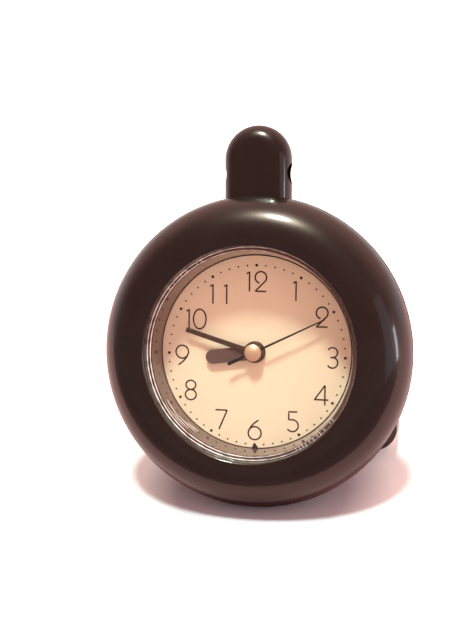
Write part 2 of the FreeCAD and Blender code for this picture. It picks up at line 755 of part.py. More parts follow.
def make_hanging_tab():
    """Upright tab, rounded all over, with a bore from side to side and a wider foot that holds it."""
    piece = new_body("hanging_tab")
    shoulder = s.tab_top - s.tab_half_width
    foot_top = s.tab_root + s.tab_root_height
    blade = new_sketch(piece, "XY_Plane", along=-s.tab_back)
    add_outline(blade, (
        (-s.tab_half_width, foot_top),
        (s.tab_half_width, foot_top),
        (s.tab_half_width, shoulder),
        (0, s.tab_top, s.tab_half_width, 1),
        (-s.tab_half_width, shoulder, s.tab_half_width, 1),
    ))
    pad(piece, blade, s.tab_back + s.tab_front)
    faces = (s.tab_front.value, -s.tab_back.value)

    def outer_edge(edge):
        box = edge.BoundBox
        flat = near(box.ZMin, box.ZMax) and any(near(box.ZMin, face) for face in faces)
        return flat and box.YMax > s.tab_root.value + s.tab_round.value

    round_edges(piece, outer_edge, s.tab_round)
    foot = new_sketch(piece, "XY_Plane", along=-s.tab_back + s.tab_root_inset)
    add_box(foot, -s.tab_root_half_width, s.tab_root, s.tab_root_half_width, foot_top)
    pad(piece, foot, s.tab_back + s.tab_front - 2 * s.tab_root_inset)
    middle = (s.tab_front - s.tab_back) / 2
    collar = new_sketch(piece, "XY_Plane", along=middle)
    add_box(collar, -s.tab_half_width, s.tab_root, s.tab_half_width, s.tab_root + s.tab_collar_height)
    pad(piece, collar, s.tab_front - middle)
    bore = new_sketch(piece, "YZ_Plane", along=-s.tab_root_half_width)
    add_circle(bore, s.tab_bore_radius, s.tab_bore_height, middle)
    pocket(piece, bore, 2 * s.tab_root_half_width, forwards=True)


def make_case_screws():
    """Four screws that pull the two halves together, set in wells behind the ring."""
    piece = new_body("case_screws")
    shanks = new_sketch(piece, "XY_Plane", along=-s.screw_seat_depth)
    heads = new_sketch(piece, "XY_Plane", along=-s.screw_seat_depth)
    for x, y in screw_spots:
        add_circle(shanks, s.screw_radius, x, y)
        add_circle(heads, s.screw_head_radius, x, y)
    shanks = pad(piece, shanks, s.screw_seat_depth + s.screw_reach)
    heads = pad(piece, heads, s.screw_head_height, backwards=True)
    mirror_pair(piece, [shanks, heads])


def make_foot_pads():
    """Two soft wedges under the housing's rear edge, cut flat to the table."""
    piece = new_body("foot_pads")
    front = -s.pad_front_depth
    back = -(s.rear_depth - s.rear_round - s.pad_rear_margin)
    front_floor = -(lift + front * sine(s.lean)) / cosine(s.lean)
    back_floor = -(lift + back * sine(s.lean)) / cosine(s.lean)
    side = new_sketch(piece, "YZ_Plane", along=s.pad_spacing - s.pad_width / 2)
    add_outline(side, (
        (underside, front),
        (underside, back),
        (back_floor, back),
        (front_floor, front),
    ))
    wedge = pad(piece, side, s.pad_width)
    mirror_pair(piece, [wedge])


def make_rear_cap():
    """Round cap that screws into the neck, with a finger dish, a grip bar and grip notches."""
    piece = new_body("rear_cap")
    plug = s.neck_radius - s.cap_clearance
    plug_front = rear_face + s.neck_length
    floor = cap_face + s.cap_thickness
    turn(piece, (
        (0, floor + s.cap_thickness),
        (0, floor),
        (s.dish_radius, floor),
        (s.dish_radius, cap_face),
        (s.cap_radius, cap_face),
        (s.cap_radius, cap_seat),
        (plug, cap_seat),
        (plug, plug_front),
        (plug - s.wall, plug_front),
        (plug - s.wall, floor + s.cap_thickness),
    ))
    bar = new_sketch(piece, "XY_Plane", along=cap_face)
    half = s.grip_width / 2
    side = leg(s.dish_radius, half)
    add_outline(bar, (
        (side, -half),
        (side, half, s.dish_radius, 1),
        (-side, half),
        (-side, -half, s.dish_radius, 1),
    ))
    pad(piece, bar, s.cap_thickness)
    notch = new_sketch(piece, "XY_Plane", along=cap_face)
    add_circle(notch, s.knurl_radius, s.cap_radius + s.knurl_radius / 2)
    cut = pocket(piece, notch, s.cap_thickness / 2, forwards=True)
    repeat_round(piece, cut, notch, s.knurl_count)


def make_cap_seal():
    """Flat ring that the cap squeezes against the rear wall."""
    piece = new_body("cap_seal")
    plug = s.neck_radius - s.cap_clearance
    turn(piece, ring_section(plug + s.running_clearance, s.cap_radius - s.knurl_radius,
                             cap_seat, rear_face))


# The window and the dial

def make_lens():
    """Clear flat window, bonded to the front of the spacer."""
    piece = new_body("lens")
    turn(piece, ring_section(0, s.window_radius - s.lens_clearance, window_back, s.lens_front))


def make_window_spacer():
    """Wall between the window and the dial, narrower at the dial, with a foot flange."""
    piece = new_body("window_spacer")
    outside = s.window_radius - s.lens_clearance
    inside = outside - s.spacer_wall
    turn(piece, (
        (inside - s.spacer_taper, plate_front),
        (s.flange_radius, plate_front),
        (s.flange_radius, seal_back),
        (outside, seal_back),
        (outside, window_back),
        (inside, window_back),
    ))


def make_lens_gasket():
    """Soft ring between the spacer's flange and the end of the window tube."""
    piece = new_body("lens_gasket")
    turn(piece, ring_section(s.window_radius, s.window_radius + s.tube_wall, seal_back, seal_front))


def make_dial():
    """Printed disc with the hole for the bushing and the locating notch at its foot."""
    piece = new_body("dial")
    turn(piece, ring_section(s.stem_radius + s.stem_clearance, s.dial_radius, plate_front, 0))
    notch = new_sketch(piece, "XY_Plane", along=0)
    add_circle(notch, s.notch_radius, 0, -s.dial_radius)
    pocket(piece, notch, s.dial_thickness)


def make_dial_plate():
    """Stiff carrier that the dial lies on and the movement hangs from."""
    piece = new_body("dial_plate")
    turn(piece, ring_section(s.stem_radius + s.stem_clearance, s.plate_radius,
                             plate_back, plate_front))


# The movement's case

def square(piece, half, front):
    outline = new_sketch(piece, "XY_Plane", along=front)
    add_box(outline, -half, -half, half, half)
    return outline


def make_movement_cover():
    """Front plate with the bushing, the minute wheel's post and the front bearings."""
    piece = new_body("movement_cover")
    pad(piece, square(piece, s.movement_half, movement_front), s.cover_thickness, backwards=True)
    turn(piece, ring_section(0, s.stem_radius, movement_front, s.stem_front))
    bore = new_sketch(piece, "XY_Plane", along=s.stem_front)
    add_circle(bore, s.stem_bore)
    pocket(piece, bore, s.stem_front - cover_back)
    post = new_sketch(piece, "XY_Plane", along=cover_back)
    add_circle(post, s.pivot_radius + s.running_clearance, minute_x, minute_y)
    pad(piece, post, cover_back - minute_wheel_front + s.wheel_thickness, backwards=True)
    bearings = new_sketch(piece, "XY_Plane", along=cover_back)
    for x, y in ((third_x, third_y), (rotor_x, rotor_y)):
        add_circle(bearings, s.pivot_radius + s.running_clearance, x, y)
    add_circle(bearings, s.setting_arbor_radius + s.running_clearance, setting_x, setting_y)
    pocket(piece, bearings, s.pivot_depth + s.running_clearance, forwards=True)
    screws = new_sketch(piece, "XY_Plane", along=cover_back)
    add_circle(screws, s.small_screw_radius, small_screw_spot, small_screw_spot)
    add_circle(screws, s.small_screw_radius, -small_screw_spot, -small_screw_spot)
    pocket(piece, screws, s.cover_thickness / 2, forwards=True)


def make_movement_base():
    """Open box behind the front plate, with corner posts, core rests and the rear bearings."""
    piece = new_body("movement_base")
    pad(piece, square(piece, s.movement_half, cover_back), cover_back - movement_back, backwards=True)
    inner = s.movement_half - s.movement_wall
    pocket(piece, square(piece, inner, cover_back), cover_back - movement_inside)
    posts = new_sketch(piece, "XY_Plane", along=cover_back)
    add_circle(posts, s.post_radius, small_screw_spot, small_screw_spot)
    add_circle(posts, s.post_radius, -small_screw_spot, -small_screw_spot)
    pad(piece, posts, cover_back - movement_inside, backwards=True)
    rests = new_sketch(piece, "XY_Plane", along=movement_inside)
    rest = s.core_half_length - s.yoke_foot / 2
    add_circle(rests, s.core_width / 2, rest, -s.coil_drop)
    add_circle(rests, s.core_width / 2, -rest, -s.coil_drop)
    pad(piece, rests, core_back - movement_inside)
    post = new_sketch(piece, "XY_Plane", along=movement_inside)
    add_circle(post, s.pivot_radius + s.running_clearance, intermediate_x, intermediate_y)
    pad(piece, post, second_wheel_front - movement_inside)
    bearings = new_sketch(piece, "XY_Plane", along=movement_inside)
    for x, y in ((third_x, third_y), (rotor_x, rotor_y)):
        add_circle(bearings, s.pivot_radius + s.running_clearance, x, y)
    add_circle(bearings, s.arbor_radius + s.running_clearance)
    pocket(piece, bearings, s.pivot_depth + s.running_clearance)
    setting = new_sketch(piece, "XY_Plane", along=movement_inside)
    add_circle(setting, s.setting_arbor_radius + s.running_clearance, setting_x, setting_y)
    pocket(piece, setting, s.movement_wall)
    screws = new_sketch(piece, "XY_Plane", along=movement_back)
    add_circle(screws, s.small_screw_radius, small_screw_spot, small_screw_spot)
    add_circle(screws, s.small_screw_radius, -small_screw_spot, -small_screw_spot)
    pocket(piece, screws, cover_back - movement_back, forwards=True)


def make_movement_screws():
    """Two small screws from behind, through the posts into the front plate."""
    piece = new_body("movement_screws")
    for radius, length, backwards in (
        (s.small_screw_radius, cover_back - movement_back + s.cover_thickness / 2, False),
        (s.small_head_radius, s.small_head_height, True),
    ):
        profile = new_sketch(piece, "XY_Plane", along=movement_back)
        add_circle(profile, radius, small_screw_spot, small_screw_spot)
        add_circle(profile, radius, -small_screw_spot, -small_screw_spot)
        pad(piece, profile, length, backwards)


def make_stem_fixings():
    """Washer behind the carrier and the round nut on the dial."""
    turn(new_body("stem_washer"), ring_section(s.stem_radius, s.washer_radius, movement_front, plate_back))
    turn(new_body("stem_nut"), ring_section(s.stem_radius, s.nut_radius, 0, s.nut_thickness))


# The motor

def make_stator():
    """Flat yoke: a foot at each end of the core, an upper limb and an eye round the rotor."""
    piece = new_body("stator")
    foot_floor = -s.coil_drop - s.core_width / 2
    limb_floor = -s.coil_drop + s.coil_flange_radius + s.running_clearance
    limb_top = limb_floor + s.yoke_width
    left = -s.core_half_length
    right = s.core_half_length
    eye = s.magnet_radius + s.magnet_air
    eye_left = rotor_x - eye - s.yoke_rim
    eye_right = rotor_x + eye + s.yoke_rim
    eye_top = rotor_y + eye + s.yoke_rim
    plate = new_sketch(piece, "XY_Plane", along=stator_back)
    add_outline(plate, (
        (left, foot_floor),
        (left + s.yoke_foot, foot_floor),
        (left + s.yoke_foot, limb_floor),
        (right - s.yoke_foot, limb_floor),
        (right - s.yoke_foot, foot_floor),
        (right, foot_floor),
        (eye_right, limb_top),
        (eye_right, eye_top),
        (eye_left, eye_top),
        (eye_left, limb_top),
        (left, limb_top),
    ))
    pad(piece, plate, s.stator_thickness)
    hole = new_sketch(piece, "XY_Plane", along=stator_back)
    add_circle(hole, eye, rotor_x, rotor_y)
    pocket(piece, hole, s.stator_thickness, forwards=True)


def make_coil():
    """Flat core, bobbin with two flanges and the winding between them."""
    core = new_body("coil_core")
    bar = new_sketch(core, "XY_Plane", along=core_back)
    half_width = s.core_width / 2
    add_box(bar, -s.core_half_length, -s.coil_drop - half_width,
            s.core_half_length, -s.coil_drop + half_width)
    pad(core, bar, s.stator_thickness)
    bobbin = new_body("coil_bobbin")
    reel = new_sketch(bobbin, "YZ_Plane", along=-s.coil_half_length)
    add_circle(reel, s.coil_barrel_radius, -s.coil_drop, core_middle)
    pad(bobbin, reel, 2 * s.coil_half_length)
    for start in (-s.coil_half_length, s.coil_half_length - s.coil_flange_thickness):
        flange = new_sketch(bobbin, "YZ_Plane", along=start)
        add_circle(flange, s.coil_flange_radius, -s.coil_drop, core_middle)
        pad(bobbin, flange, s.coil_flange_thickness)
    passage = new_sketch(bobbin, "YZ_Plane", along=-s.coil_half_length)
    add_box(passage, -s.coil_drop - half_width, core_back, -s.coil_drop + half_width, stator_back)
    pocket(bobbin, passage, 2 * s.coil_half_length, forwards=True)
    winding = new_body("coil_winding")
    wound = s.coil_half_length - s.coil_flange_thickness
    layers = new_sketch(winding, "YZ_Plane", along=-wound)
    add_circle(layers, s.coil_wire_radius, -s.coil_drop, core_middle)
    add_circle(layers, s.coil_barrel_radius, -s.coil_drop, core_middle)
    pad(winding, layers, 2 * wound)


def make_electronics():
    """Circuit board on the case's floor, with the crystal can and the driver chip on it."""
    board = new_body("circuit_board")
    board_front = movement_inside + s.board_thickness
    outline = new_sketch(board, "XY_Plane", along=movement_inside)
    add_box(outline, s.board_left, s.board_bottom,
            s.board_left + s.board_width, s.board_bottom + s.board_height)
    pad(board, outline, s.board_thickness)
    middle = s.board_left + s.board_width / 2
    can = new_body("crystal_can")
    round_end = new_sketch(can, "XZ_Plane", along=-(s.board_bottom + s.board_height - s.crystal_inset),
                           across=middle, up=board_front + s.crystal_radius)
    add_circle(round_end, s.crystal_radius)
    pad(can, round_end, s.crystal_length)
    chip = new_body("driver_chip")
    block = new_sketch(chip, "XY_Plane", along=board_front)
    chip_floor = s.board_bottom + s.board_margin
    add_box(block, middle - s.chip_size / 2, chip_floor, middle + s.chip_size / 2, chip_floor + s.chip_size)
    pad(chip, block, s.chip_height)


def make_rotor():
    """Two-pole magnet on a fine arbor with its pinion."""
    magnet = new_body("rotor_magnet")
    turn(magnet, ring_section(s.arbor_radius, s.magnet_radius,
                              magnet_front - s.magnet_length, magnet_front), rotor_x, rotor_y)
    pinion = new_body("rotor_pinion")
    overhang = s.pinion_overhang
    toothed(pinion, s.rotor_pinion_teeth, s.fine_module, as_size(0),
            intermediate_wheel_front + overhang, s.wheel_thickness + 2 * overhang, rotor_x, rotor_y)
    pivoted_arbor(pinion, rotor_x, rotor_y)


def pivoted_arbor(piece, x, y):
    """An arbor from plate to plate, turned down to a pivot at each end."""
    front = cover_back - s.running_clearance
    back = movement_inside + s.running_clearance
    turn(piece, (
        (0, back - s.pivot_depth),
        (s.pivot_radius, back - s.pivot_depth),
        (s.pivot_radius, back),
        (s.arbor_radius, back),
        (s.arbor_radius, front),
        (s.pivot_radius, front),
        (s.pivot_radius, front + s.pivot_depth),
        (0, front + s.pivot_depth),
    ), x, y)


# The gear train

def make_intermediate_wheel():
    piece = new_body("intermediate_wheel")
    overhang = s.pinion_overhang
    phase = mesh_phase(s.rotor_direction + 180, as_size(0), s.rotor_pinion_teeth, s.intermediate_teeth)
    toothed(piece, s.intermediate_teeth, s.fine_module, phase, intermediate_wheel_front,
            s.wheel_thickness, intermediate_x, intermediate_y)
    pinion_front = second_wheel_front + overhang
    toothed(piece, s.intermediate_pinion_teeth, s.fine_module, as_size(0), pinion_front,
            pinion_front - intermediate_wheel_front, intermediate_x, intermediate_y)
    bore = new_sketch(piece, "XY_Plane", along=pinion_front, across=intermediate_x, up=intermediate_y)
    add_circle(bore, s.pivot_radius + 2 * s.running_clearance)
    pocket(piece, bore, pinion_front - movement_inside)


def make_second_wheel():
    piece = new_body("second_wheel")
    overhang = s.pinion_overhang
    phase = mesh_phase(s.intermediate_direction + 180, as_size(0),
                       s.intermediate_pinion_teeth, s.second_teeth)
    toothed(piece, s.second_teeth, s.fine_module, phase, second_wheel_front, s.wheel_thickness)
    pinion_front = third_wheel_front + overhang
    toothed(piece, s.second_pinion_teeth, s.third_module, as_size(0), pinion_front,
            pinion_front - second_wheel_front)
    tip = s.second_hand_height + s.hand_thickness + s.cap_dome_height / 2
    turn(piece, ring_section(0, s.arbor_radius, movement_inside - s.pivot_depth, tip))


def make_third_wheel():
    piece = new_body("third_wheel")
    overhang = s.pinion_overhang
    phase = mesh_phase(s.third_direction, as_size(0), s.second_pinion_teeth, s.third_teeth)
    toothed(piece, s.third_teeth, s.third_module, phase, third_wheel_front,
            s.wheel_thickness, third_x, third_y)
    pinion_front = centre_wheel_front + overhang
    toothed(piece, s.third_pinion_teeth, centre_module, as_size(0), pinion_front,
            pinion_front - third_wheel_front, third_x, third_y)
    pivoted_arbor(piece, third_x, third_y)


def make_centre_wheel():
    piece = new_body("centre_wheel")
    overhang = s.pinion_overhang
    phase = mesh_phase(s.third_direction + 180, as_size(0), s.third_pinion_teeth, s.centre_teeth)
    toothed(piece, s.centre_teeth, centre_module, phase, centre_wheel_front, s.wheel_thickness)
    pinion_front = minute_wheel_front + overhang
    toothed(piece, s.cannon_teeth, minute_module, as_size(0), pinion_front,
            pinion_front - centre_wheel_front)
    back = centre_wheel_front - s.wheel_thickness
    front = s.minute_hand_height + s.hand_thickness + s.running_clearance
    turn(piece, ring_section(0, s.tube_radius, back, front))
    bore = new_sketch(piece, "XY_Plane", along=front)
    add_circle(bore, s.arbor_radius + s.running_clearance)
    pocket(piece, bore, front - back)


def make_minute_wheel():
    piece = new_body("minute_wheel")
    overhang = s.pinion_overhang
    phase = mesh_phase(s.motion_direction, as_size(0), s.cannon_teeth, s.minute_teeth)
    toothed(piece, s.minute_teeth, minute_module, phase, minute_wheel_front,
            s.wheel_thickness, minute_x, minute_y)
    pinion_front = hour_wheel_front + overhang
    toothed(piece, s.minute_pinion_teeth, s.hour_module, as_size(0), pinion_front,
            pinion_front - minute_wheel_front, minute_x, minute_y)
    bore = new_sketch(piece, "XY_Plane", along=pinion_front, across=minute_x, up=minute_y)
    add_circle(bore, s.pivot_radius + 2 * s.running_clearance)
    pocket(piece, bore, pinion_front - centre_wheel_front)
    return phase


def make_hour_wheel():
    piece = new_body("hour_wheel")
    phase = mesh_phase(s.motion_direction + 180, as_size(0), s.minute_pinion_teeth, s.hour_teeth)
    toothed(piece, s.hour_teeth, s.hour_module, phase, hour_wheel_front, s.wheel_thickness)
    back = hour_wheel_front - s.wheel_thickness
    front = s.hour_hand_height + s.hand_thickness + s.running_clearance
    turn(piece, ring_section(0, s.pipe_radius, back, front))
    bore = new_sketch(piece, "XY_Plane", along=front)
    add_circle(bore, s.tube_radius + s.running_clearance)
    pocket(piece, bore, front - back)


def make_setting(minute_phase):
    """Setting arbor with its pinion, and the knob that sits on its rear end."""
    arbor = new_body("setting_arbor")
    overhang = s.pinion_overhang
    phase = mesh_phase(s.motion_direction, minute_phase, s.minute_teeth, s.cannon_teeth)
    toothed(arbor, s.cannon_teeth, minute_module, phase, minute_wheel_front + overhang,
            s.wheel_thickness + 2 * overhang, setting_x, setting_y)
    knob_end = -s.knob_end_depth
    front = cover_back + s.pivot_depth
    turn(arbor, ring_section(0, s.setting_arbor_radius, knob_end, front), setting_x, setting_y)
    knob = new_body("set_knob")
    hub_front = movement_back - s.running_clearance
    turn(knob, (
        (s.setting_arbor_radius, hub_front),
        (s.setting_arbor_radius, knob_end),
        (s.knob_radius, knob_end),
        (s.knob_radius, knob_end + s.knob_height),
        (s.knob_hub_radius, knob_end + s.knob_height),
        (s.knob_hub_radius, hub_front),
    ), setting_x, setting_y)
    notch = new_sketch(knob, "XY_Plane", along=knob_end, across=setting_x, up=setting_y)
    add_circle(notch, s.knob_notch_radius, s.knob_radius + s.knob_notch_radius / 3)
    cut = pocket(knob, notch, s.knob_height, forwards=True)
    repeat_round(knob, cut, notch, s.knob_notch_count)


# The cell and its tray

def make_cell():
    tray = new_body("battery_tray")
    contact = s.contact_thickness
    inner_half = s.cell_length / 2 + s.nub_length / 2 + contact
    outer_half = inner_half + s.tray_wall
    side = s.cell_radius + s.tray_wall
    block = new_sketch(tray, "XY_Plane", along=movement_back)
    add_box(block, -outer_half, -s.cell_drop - side, outer_half, -s.cell_drop + side)
    pad(tray, block, s.tray_wall + s.cell_radius, backwards=True)
    trough = new_sketch(tray, "YZ_Plane", along=-inner_half)
    add_circle(trough, s.cell_radius + s.running_clearance, -s.cell_drop, cell_axis)
    pocket(tray, trough, 2 * inner_half, forwards=True)
    cell = new_body("battery")
    body_left = -(s.cell_length + s.nub_length) / 2
    can = new_sketch(cell, "YZ_Plane", along=body_left)
    add_circle(can, s.cell_radius, -s.cell_drop, cell_axis)
    pad(cell, can, s.cell_length)
    nub = new_sketch(cell, "YZ_Plane", along=body_left + s.cell_length)
    add_circle(nub, s.nub_radius, -s.cell_drop, cell_axis)
    pad(cell, nub, s.nub_length)
    for label, start in (("contact_negative", -inner_half), ("contact_positive", inner_half - contact)):
        strip = new_body(label)
        plate = new_sketch(strip, "YZ_Plane", along=start)
        add_box(plate, -s.cell_drop - s.contact_width / 2, cell_axis - s.contact_width / 2,
                -s.cell_drop + s.contact_width / 2, cell_axis + s.contact_width / 2)
        pad(strip, plate, contact)


# The hands

def clockwise(angle, along, aside):
    """A point of a hand: along it from the centre and aside to its right, at a clock angle."""
    return (along * sine(angle) + aside * cosine(angle), along * cosine(angle) - aside * sine(angle))


def hand_hub(piece, radius, bore, height):
    turn(piece, ring_section(bore, radius, height, height + s.hand_thickness))


def make_hour_hand():
    piece = new_body("hour_hand")
    hand_hub(piece, s.hour_hub_radius, s.pipe_radius, s.hour_hand_height)
    angle = s.hour_angle
    half = s.hour_hand_width / 2
    end = s.hour_hand_length - half
    root_at = s.pipe_radius + s.hand_thickness
    blade = new_sketch(piece, "XY_Plane", along=s.hour_hand_height)
    add_outline(blade, (
        clockwise(angle, root_at, half),
        clockwise(angle, end, half),
        clockwise(angle, s.hour_hand_length, as_size(0)) + (half, 1),
        clockwise(angle, end, -half) + (half, 1),
        clockwise(angle, root_at, -half),
    ))
    pad(piece, blade, s.hand_thickness)


def make_minute_hand():
    piece = new_body("minute_hand")
    hand_hub(piece, s.minute_hub_radius, s.tube_radius, s.minute_hand_height)
    angle = s.minute_angle
    wide = s.minute_hand_width / 2
    tip = s.minute_tip_width / 2
    root_at = s.tube_radius + s.hand_thickness
    blade = new_sketch(piece, "XY_Plane", along=s.minute_hand_height)
    add_outline(blade, (
        clockwise(angle, root_at, wide),
        clockwise(angle, s.minute_hand_length, tip),
        clockwise(angle, s.minute_hand_length, -tip),
        clockwise(angle, root_at, -wide),
    ))
    pad(piece, blade, s.hand_thickness)


def make_second_hand():
    piece = new_body("second_hand")
    hand_hub(piece, s.second_hub_radius, s.arbor_radius, s.second_hand_height)
    angle = s.second_angle
    root_at = s.arbor_radius + s.hand_thickness
    blade = new_sketch(piece, "XY_Plane", along=s.second_hand_height)
    add_outline(blade, (
        clockwise(angle, root_at, s.second_root_width / 2),
        clockwise(angle, s.second_hand_length, s.second_tip_width / 2),
        clockwise(angle, s.second_hand_length, -s.second_tip_width / 2),
        clockwise(angle, root_at, -s.second_root_width / 2),
    ))
    pad(piece, blade, s.hand_thickness)
    tail = new_sketch(piece, "XY_Plane", along=s.second_hand_height)
    add_outline(tail, (
        clockwise(angle, -root_at, -s.second_tail_width / 2),
        clockwise(angle, -s.second_tail_length, -s.second_tail_width / 2),
        clockwise(angle, -s.second_tail_length, s.second_tail_width / 2),
        clockwise(angle, -root_at, s.second_tail_width / 2),
    ))
    pad(piece, tail, s.hand_thickness)


def make_centre_cap():
    """Domed cap on the end of the seconds arbor."""
    piece = new_body("centre_cap")
    base = s.second_hand_height + s.hand_thickness
    rise = s.cap_dome_height - s.cap_dome_edge
    dome = (s.cap_dome_radius * s.cap_dome_radius + rise * rise) / (2 * rise)
    seat = base + s.cap_dome_height / 2
    turn(piece, (
        (s.arbor_radius, base),
        (s.cap_dome_radius, base),
        (s.cap_dome_radius, base + s.cap_dome_edge),
        (0, base + s.cap_dome_height, dome, 1),
        (0, seat),
        (s.arbor_radius, seat),
    ))


make_front_bezel()
make_rear_housing()
make_case_gasket()
make_hanging_tab()
make_case_screws()
make_foot_pads()
make_rear_cap()
make_cap_seal()
make_lens()
make_window_spacer()
make_lens_gasket()
make_dial()
make_dial_plate()
make_movement_cover()
make_movement_base()
make_movement_screws()
make_stem_fixings()
make_stator()
make_coil()
make_electronics()
make_rotor()
make_intermediate_wheel()
make_second_wheel()
make_third_wheel()
make_centre_wheel()
make_hour_wheel()
make_setting(make_minute_wheel())
make_cell()
make_hour_hand()
make_minute_hand()
make_second_hand()
make_centre_cap()
doc.recompute()

faults = [item.Label for item in doc.Objects if {"Invalid", "Error"} & set(item.State)]
faults += [piece.Label for piece in pieces if piece.Shape.isNull() or not piece.Shape.isValid()]
if faults:
    raise RuntimeError("not built: " + ", ".join(faults))

os.makedirs("parts", exist_ok=True)
for piece in pieces:
    piece.Shape.exportStep(f"parts/{piece.Label}.step")
print(len(pieces), "pieces")
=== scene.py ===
"""Desk clock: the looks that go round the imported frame.

Sizes are in metres. A point of the clock is given on the clock's own axes, x to the viewer's right,
y up the dial and z out of the dial's face, and stand() leans it back onto the table. A clock angle is
measured clockwise from 12.
"""

import json
import math

import bpy
import numpy as np
from mathutils import Matrix, Vector


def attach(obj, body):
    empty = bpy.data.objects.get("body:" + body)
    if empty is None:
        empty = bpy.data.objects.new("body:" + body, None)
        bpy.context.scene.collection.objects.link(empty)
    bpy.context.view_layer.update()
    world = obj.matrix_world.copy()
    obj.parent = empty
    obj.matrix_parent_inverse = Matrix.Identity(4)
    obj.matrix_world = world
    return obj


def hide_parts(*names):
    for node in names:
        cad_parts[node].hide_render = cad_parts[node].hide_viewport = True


bl_info = {
    "name": "Desk Clock",
    "version": (1, 0, 0),
    "blender": (4, 5, 0),
    "location": "View3D > Sidebar > Desk Clock",
    "description": "Builds the visible surfaces and finishes of a leaning desk clock",
    "category": "Add Mesh",
}

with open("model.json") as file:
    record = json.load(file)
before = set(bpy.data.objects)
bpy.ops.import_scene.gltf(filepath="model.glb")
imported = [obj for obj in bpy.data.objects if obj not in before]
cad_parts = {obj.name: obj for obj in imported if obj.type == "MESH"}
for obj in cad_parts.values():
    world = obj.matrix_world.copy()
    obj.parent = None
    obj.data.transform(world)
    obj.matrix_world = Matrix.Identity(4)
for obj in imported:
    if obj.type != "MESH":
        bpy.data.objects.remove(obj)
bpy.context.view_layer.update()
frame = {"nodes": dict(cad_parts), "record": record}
MM = 0.001


# The clock's place on the table

LEAN = math.radians(20)
LIFT = 47.9697 * MM
FORWARD = -14.0541 * MM


def stand(points):
    """Turns points back by the lean about the x axis, then moves them by FORWARD and LIFT."""
    points = np.asarray(points, float)
    x, y, z = points[:, 0], points[:, 1], points[:, 2]
    return np.column_stack((
        x,
        y * math.sin(LEAN) - z * math.cos(LEAN) + FORWARD,
        y * math.cos(LEAN) + z * math.sin(LEAN) + LIFT,
    ))


# Surfaces, each an array of points and a list of faces

WELD = 1e-4 * MM
SHARP_EDGE = math.radians(32)


def grid_faces(rows, columns, round_rows=False, round_columns=False):
    """Quads between neighbours of a rows x columns grid, closed on itself where asked."""
    i = np.arange(rows if round_rows else rows - 1)
    j = np.arange(columns if round_columns else columns - 1)
    i, j = (k.ravel() for k in np.meshgrid(i, j, indexing="ij"))
    i2, j2 = (i + 1) % rows, (j + 1) % columns
    return np.column_stack((i * columns + j, i2 * columns + j, i2 * columns + j2, i * columns + j2))


def welded(points, quads):
    """Merges points that round to the same WELD step. Quads that lose a corner become triangles."""
    keys = np.round(points / WELD).astype(np.int64)
    _, first, place = np.unique(keys, axis=0, return_index=True, return_inverse=True)
    place = place.ravel()
    quads = place[quads]
    same = quads == np.roll(quads, -1, axis=1)
    whole = quads[~same.any(axis=1)]
    pinched = quads[same.sum(axis=1) == 1]
    kept = ~same[same.sum(axis=1) == 1]
    triangles = pinched[kept].reshape(-1, 3)
    return points[first], whole.tolist() + triangles.tolist()


def arc(x, y, radius, start, end, steps):
    """Points (x + rx cos a, y + ry sin a) for angle a from start to end, in degrees.

    The radius is one number, or a pair rx and ry.
    """
    a = np.radians(np.linspace(start, end, steps + 1))
    rx, ry = radius if isinstance(radius, tuple) else (radius, radius)
    return np.column_stack((x + rx * np.cos(a), y + ry * np.sin(a)))


def revolved(profile, steps, closed=True):
    """The profile's points (r, z) turned about the z axis: (r sin a, r cos a, z) for a round the circle.

    A profile that isn't closed starts and ends on the axis.
    """
    profile = np.asarray(profile, float)
    a = np.linspace(0, 2 * math.pi, steps, endpoint=False)
    r, z = profile[:, 0], profile[:, 1]
    points = np.stack((
        np.outer(np.sin(a), r),
        np.outer(np.cos(a), r),
        np.broadcast_to(z, (steps, len(z))),
    ), axis=-1).reshape(-1, 3)
    return welded(points, grid_faces(steps, len(profile), round_rows=True, round_columns=closed))


def band(path, half_width, low, high, bevel=0.0):
    """A closed strip along a path, from the path minus its half width to the path plus its half width.

    The half width is one number, or one for each point. The strip lies between two heights, and its
    top edges are cut back by the bevel. Each end closes on the middle of its own section.
    """
    path = np.asarray(path, float)
    along = np.gradient(path, axis=0)
    along /= np.linalg.norm(along, axis=1)[:, None]
    aside = np.column_stack((along[:, 1], -along[:, 0]))
    half = np.broadcast_to(np.asarray(half_width, float), len(path))
    top = np.maximum(half - bevel, 0)
    rim = high - bevel
    section = [(-half, low), (half, low), (half, rim), (top, high), (-top, high), (-half, rim)]
    rings = [np.column_stack((path + aside * width[:, None], np.full(len(path), height)))
             for width, height in section]
    rings = np.stack(rings, axis=1)
    start, end = (np.broadcast_to(ring.mean(axis=0), (1, *ring.shape)) for ring in (rings[0], rings[-1]))
    rings = np.concatenate((start, rings, end))
    return welded(rings.reshape(-1, 3), grid_faces(len(rings), len(section), round_columns=True))


def joined(shapes):
    """Several surfaces as one: their points one after another, and their faces renumbered to match."""
    points, faces, count = [], [], 0
    for shape_points, shape_faces in shapes:
        points.append(shape_points)
        faces += [[i + count for i in face] for face in shape_faces]
        count += len(shape_points)
    return np.concatenate(points), faces


def aimed(shape, degrees):
    """Turns a surface that points along +y to a clock angle: (x cos a + y sin a, y cos a - x sin a, z)."""
    points, faces = shape
    a = math.radians(degrees)
    x, y, z = points.T
    return np.column_stack((x * math.cos(a) + y * math.sin(a), y * math.cos(a) - x * math.sin(a), z)), faces


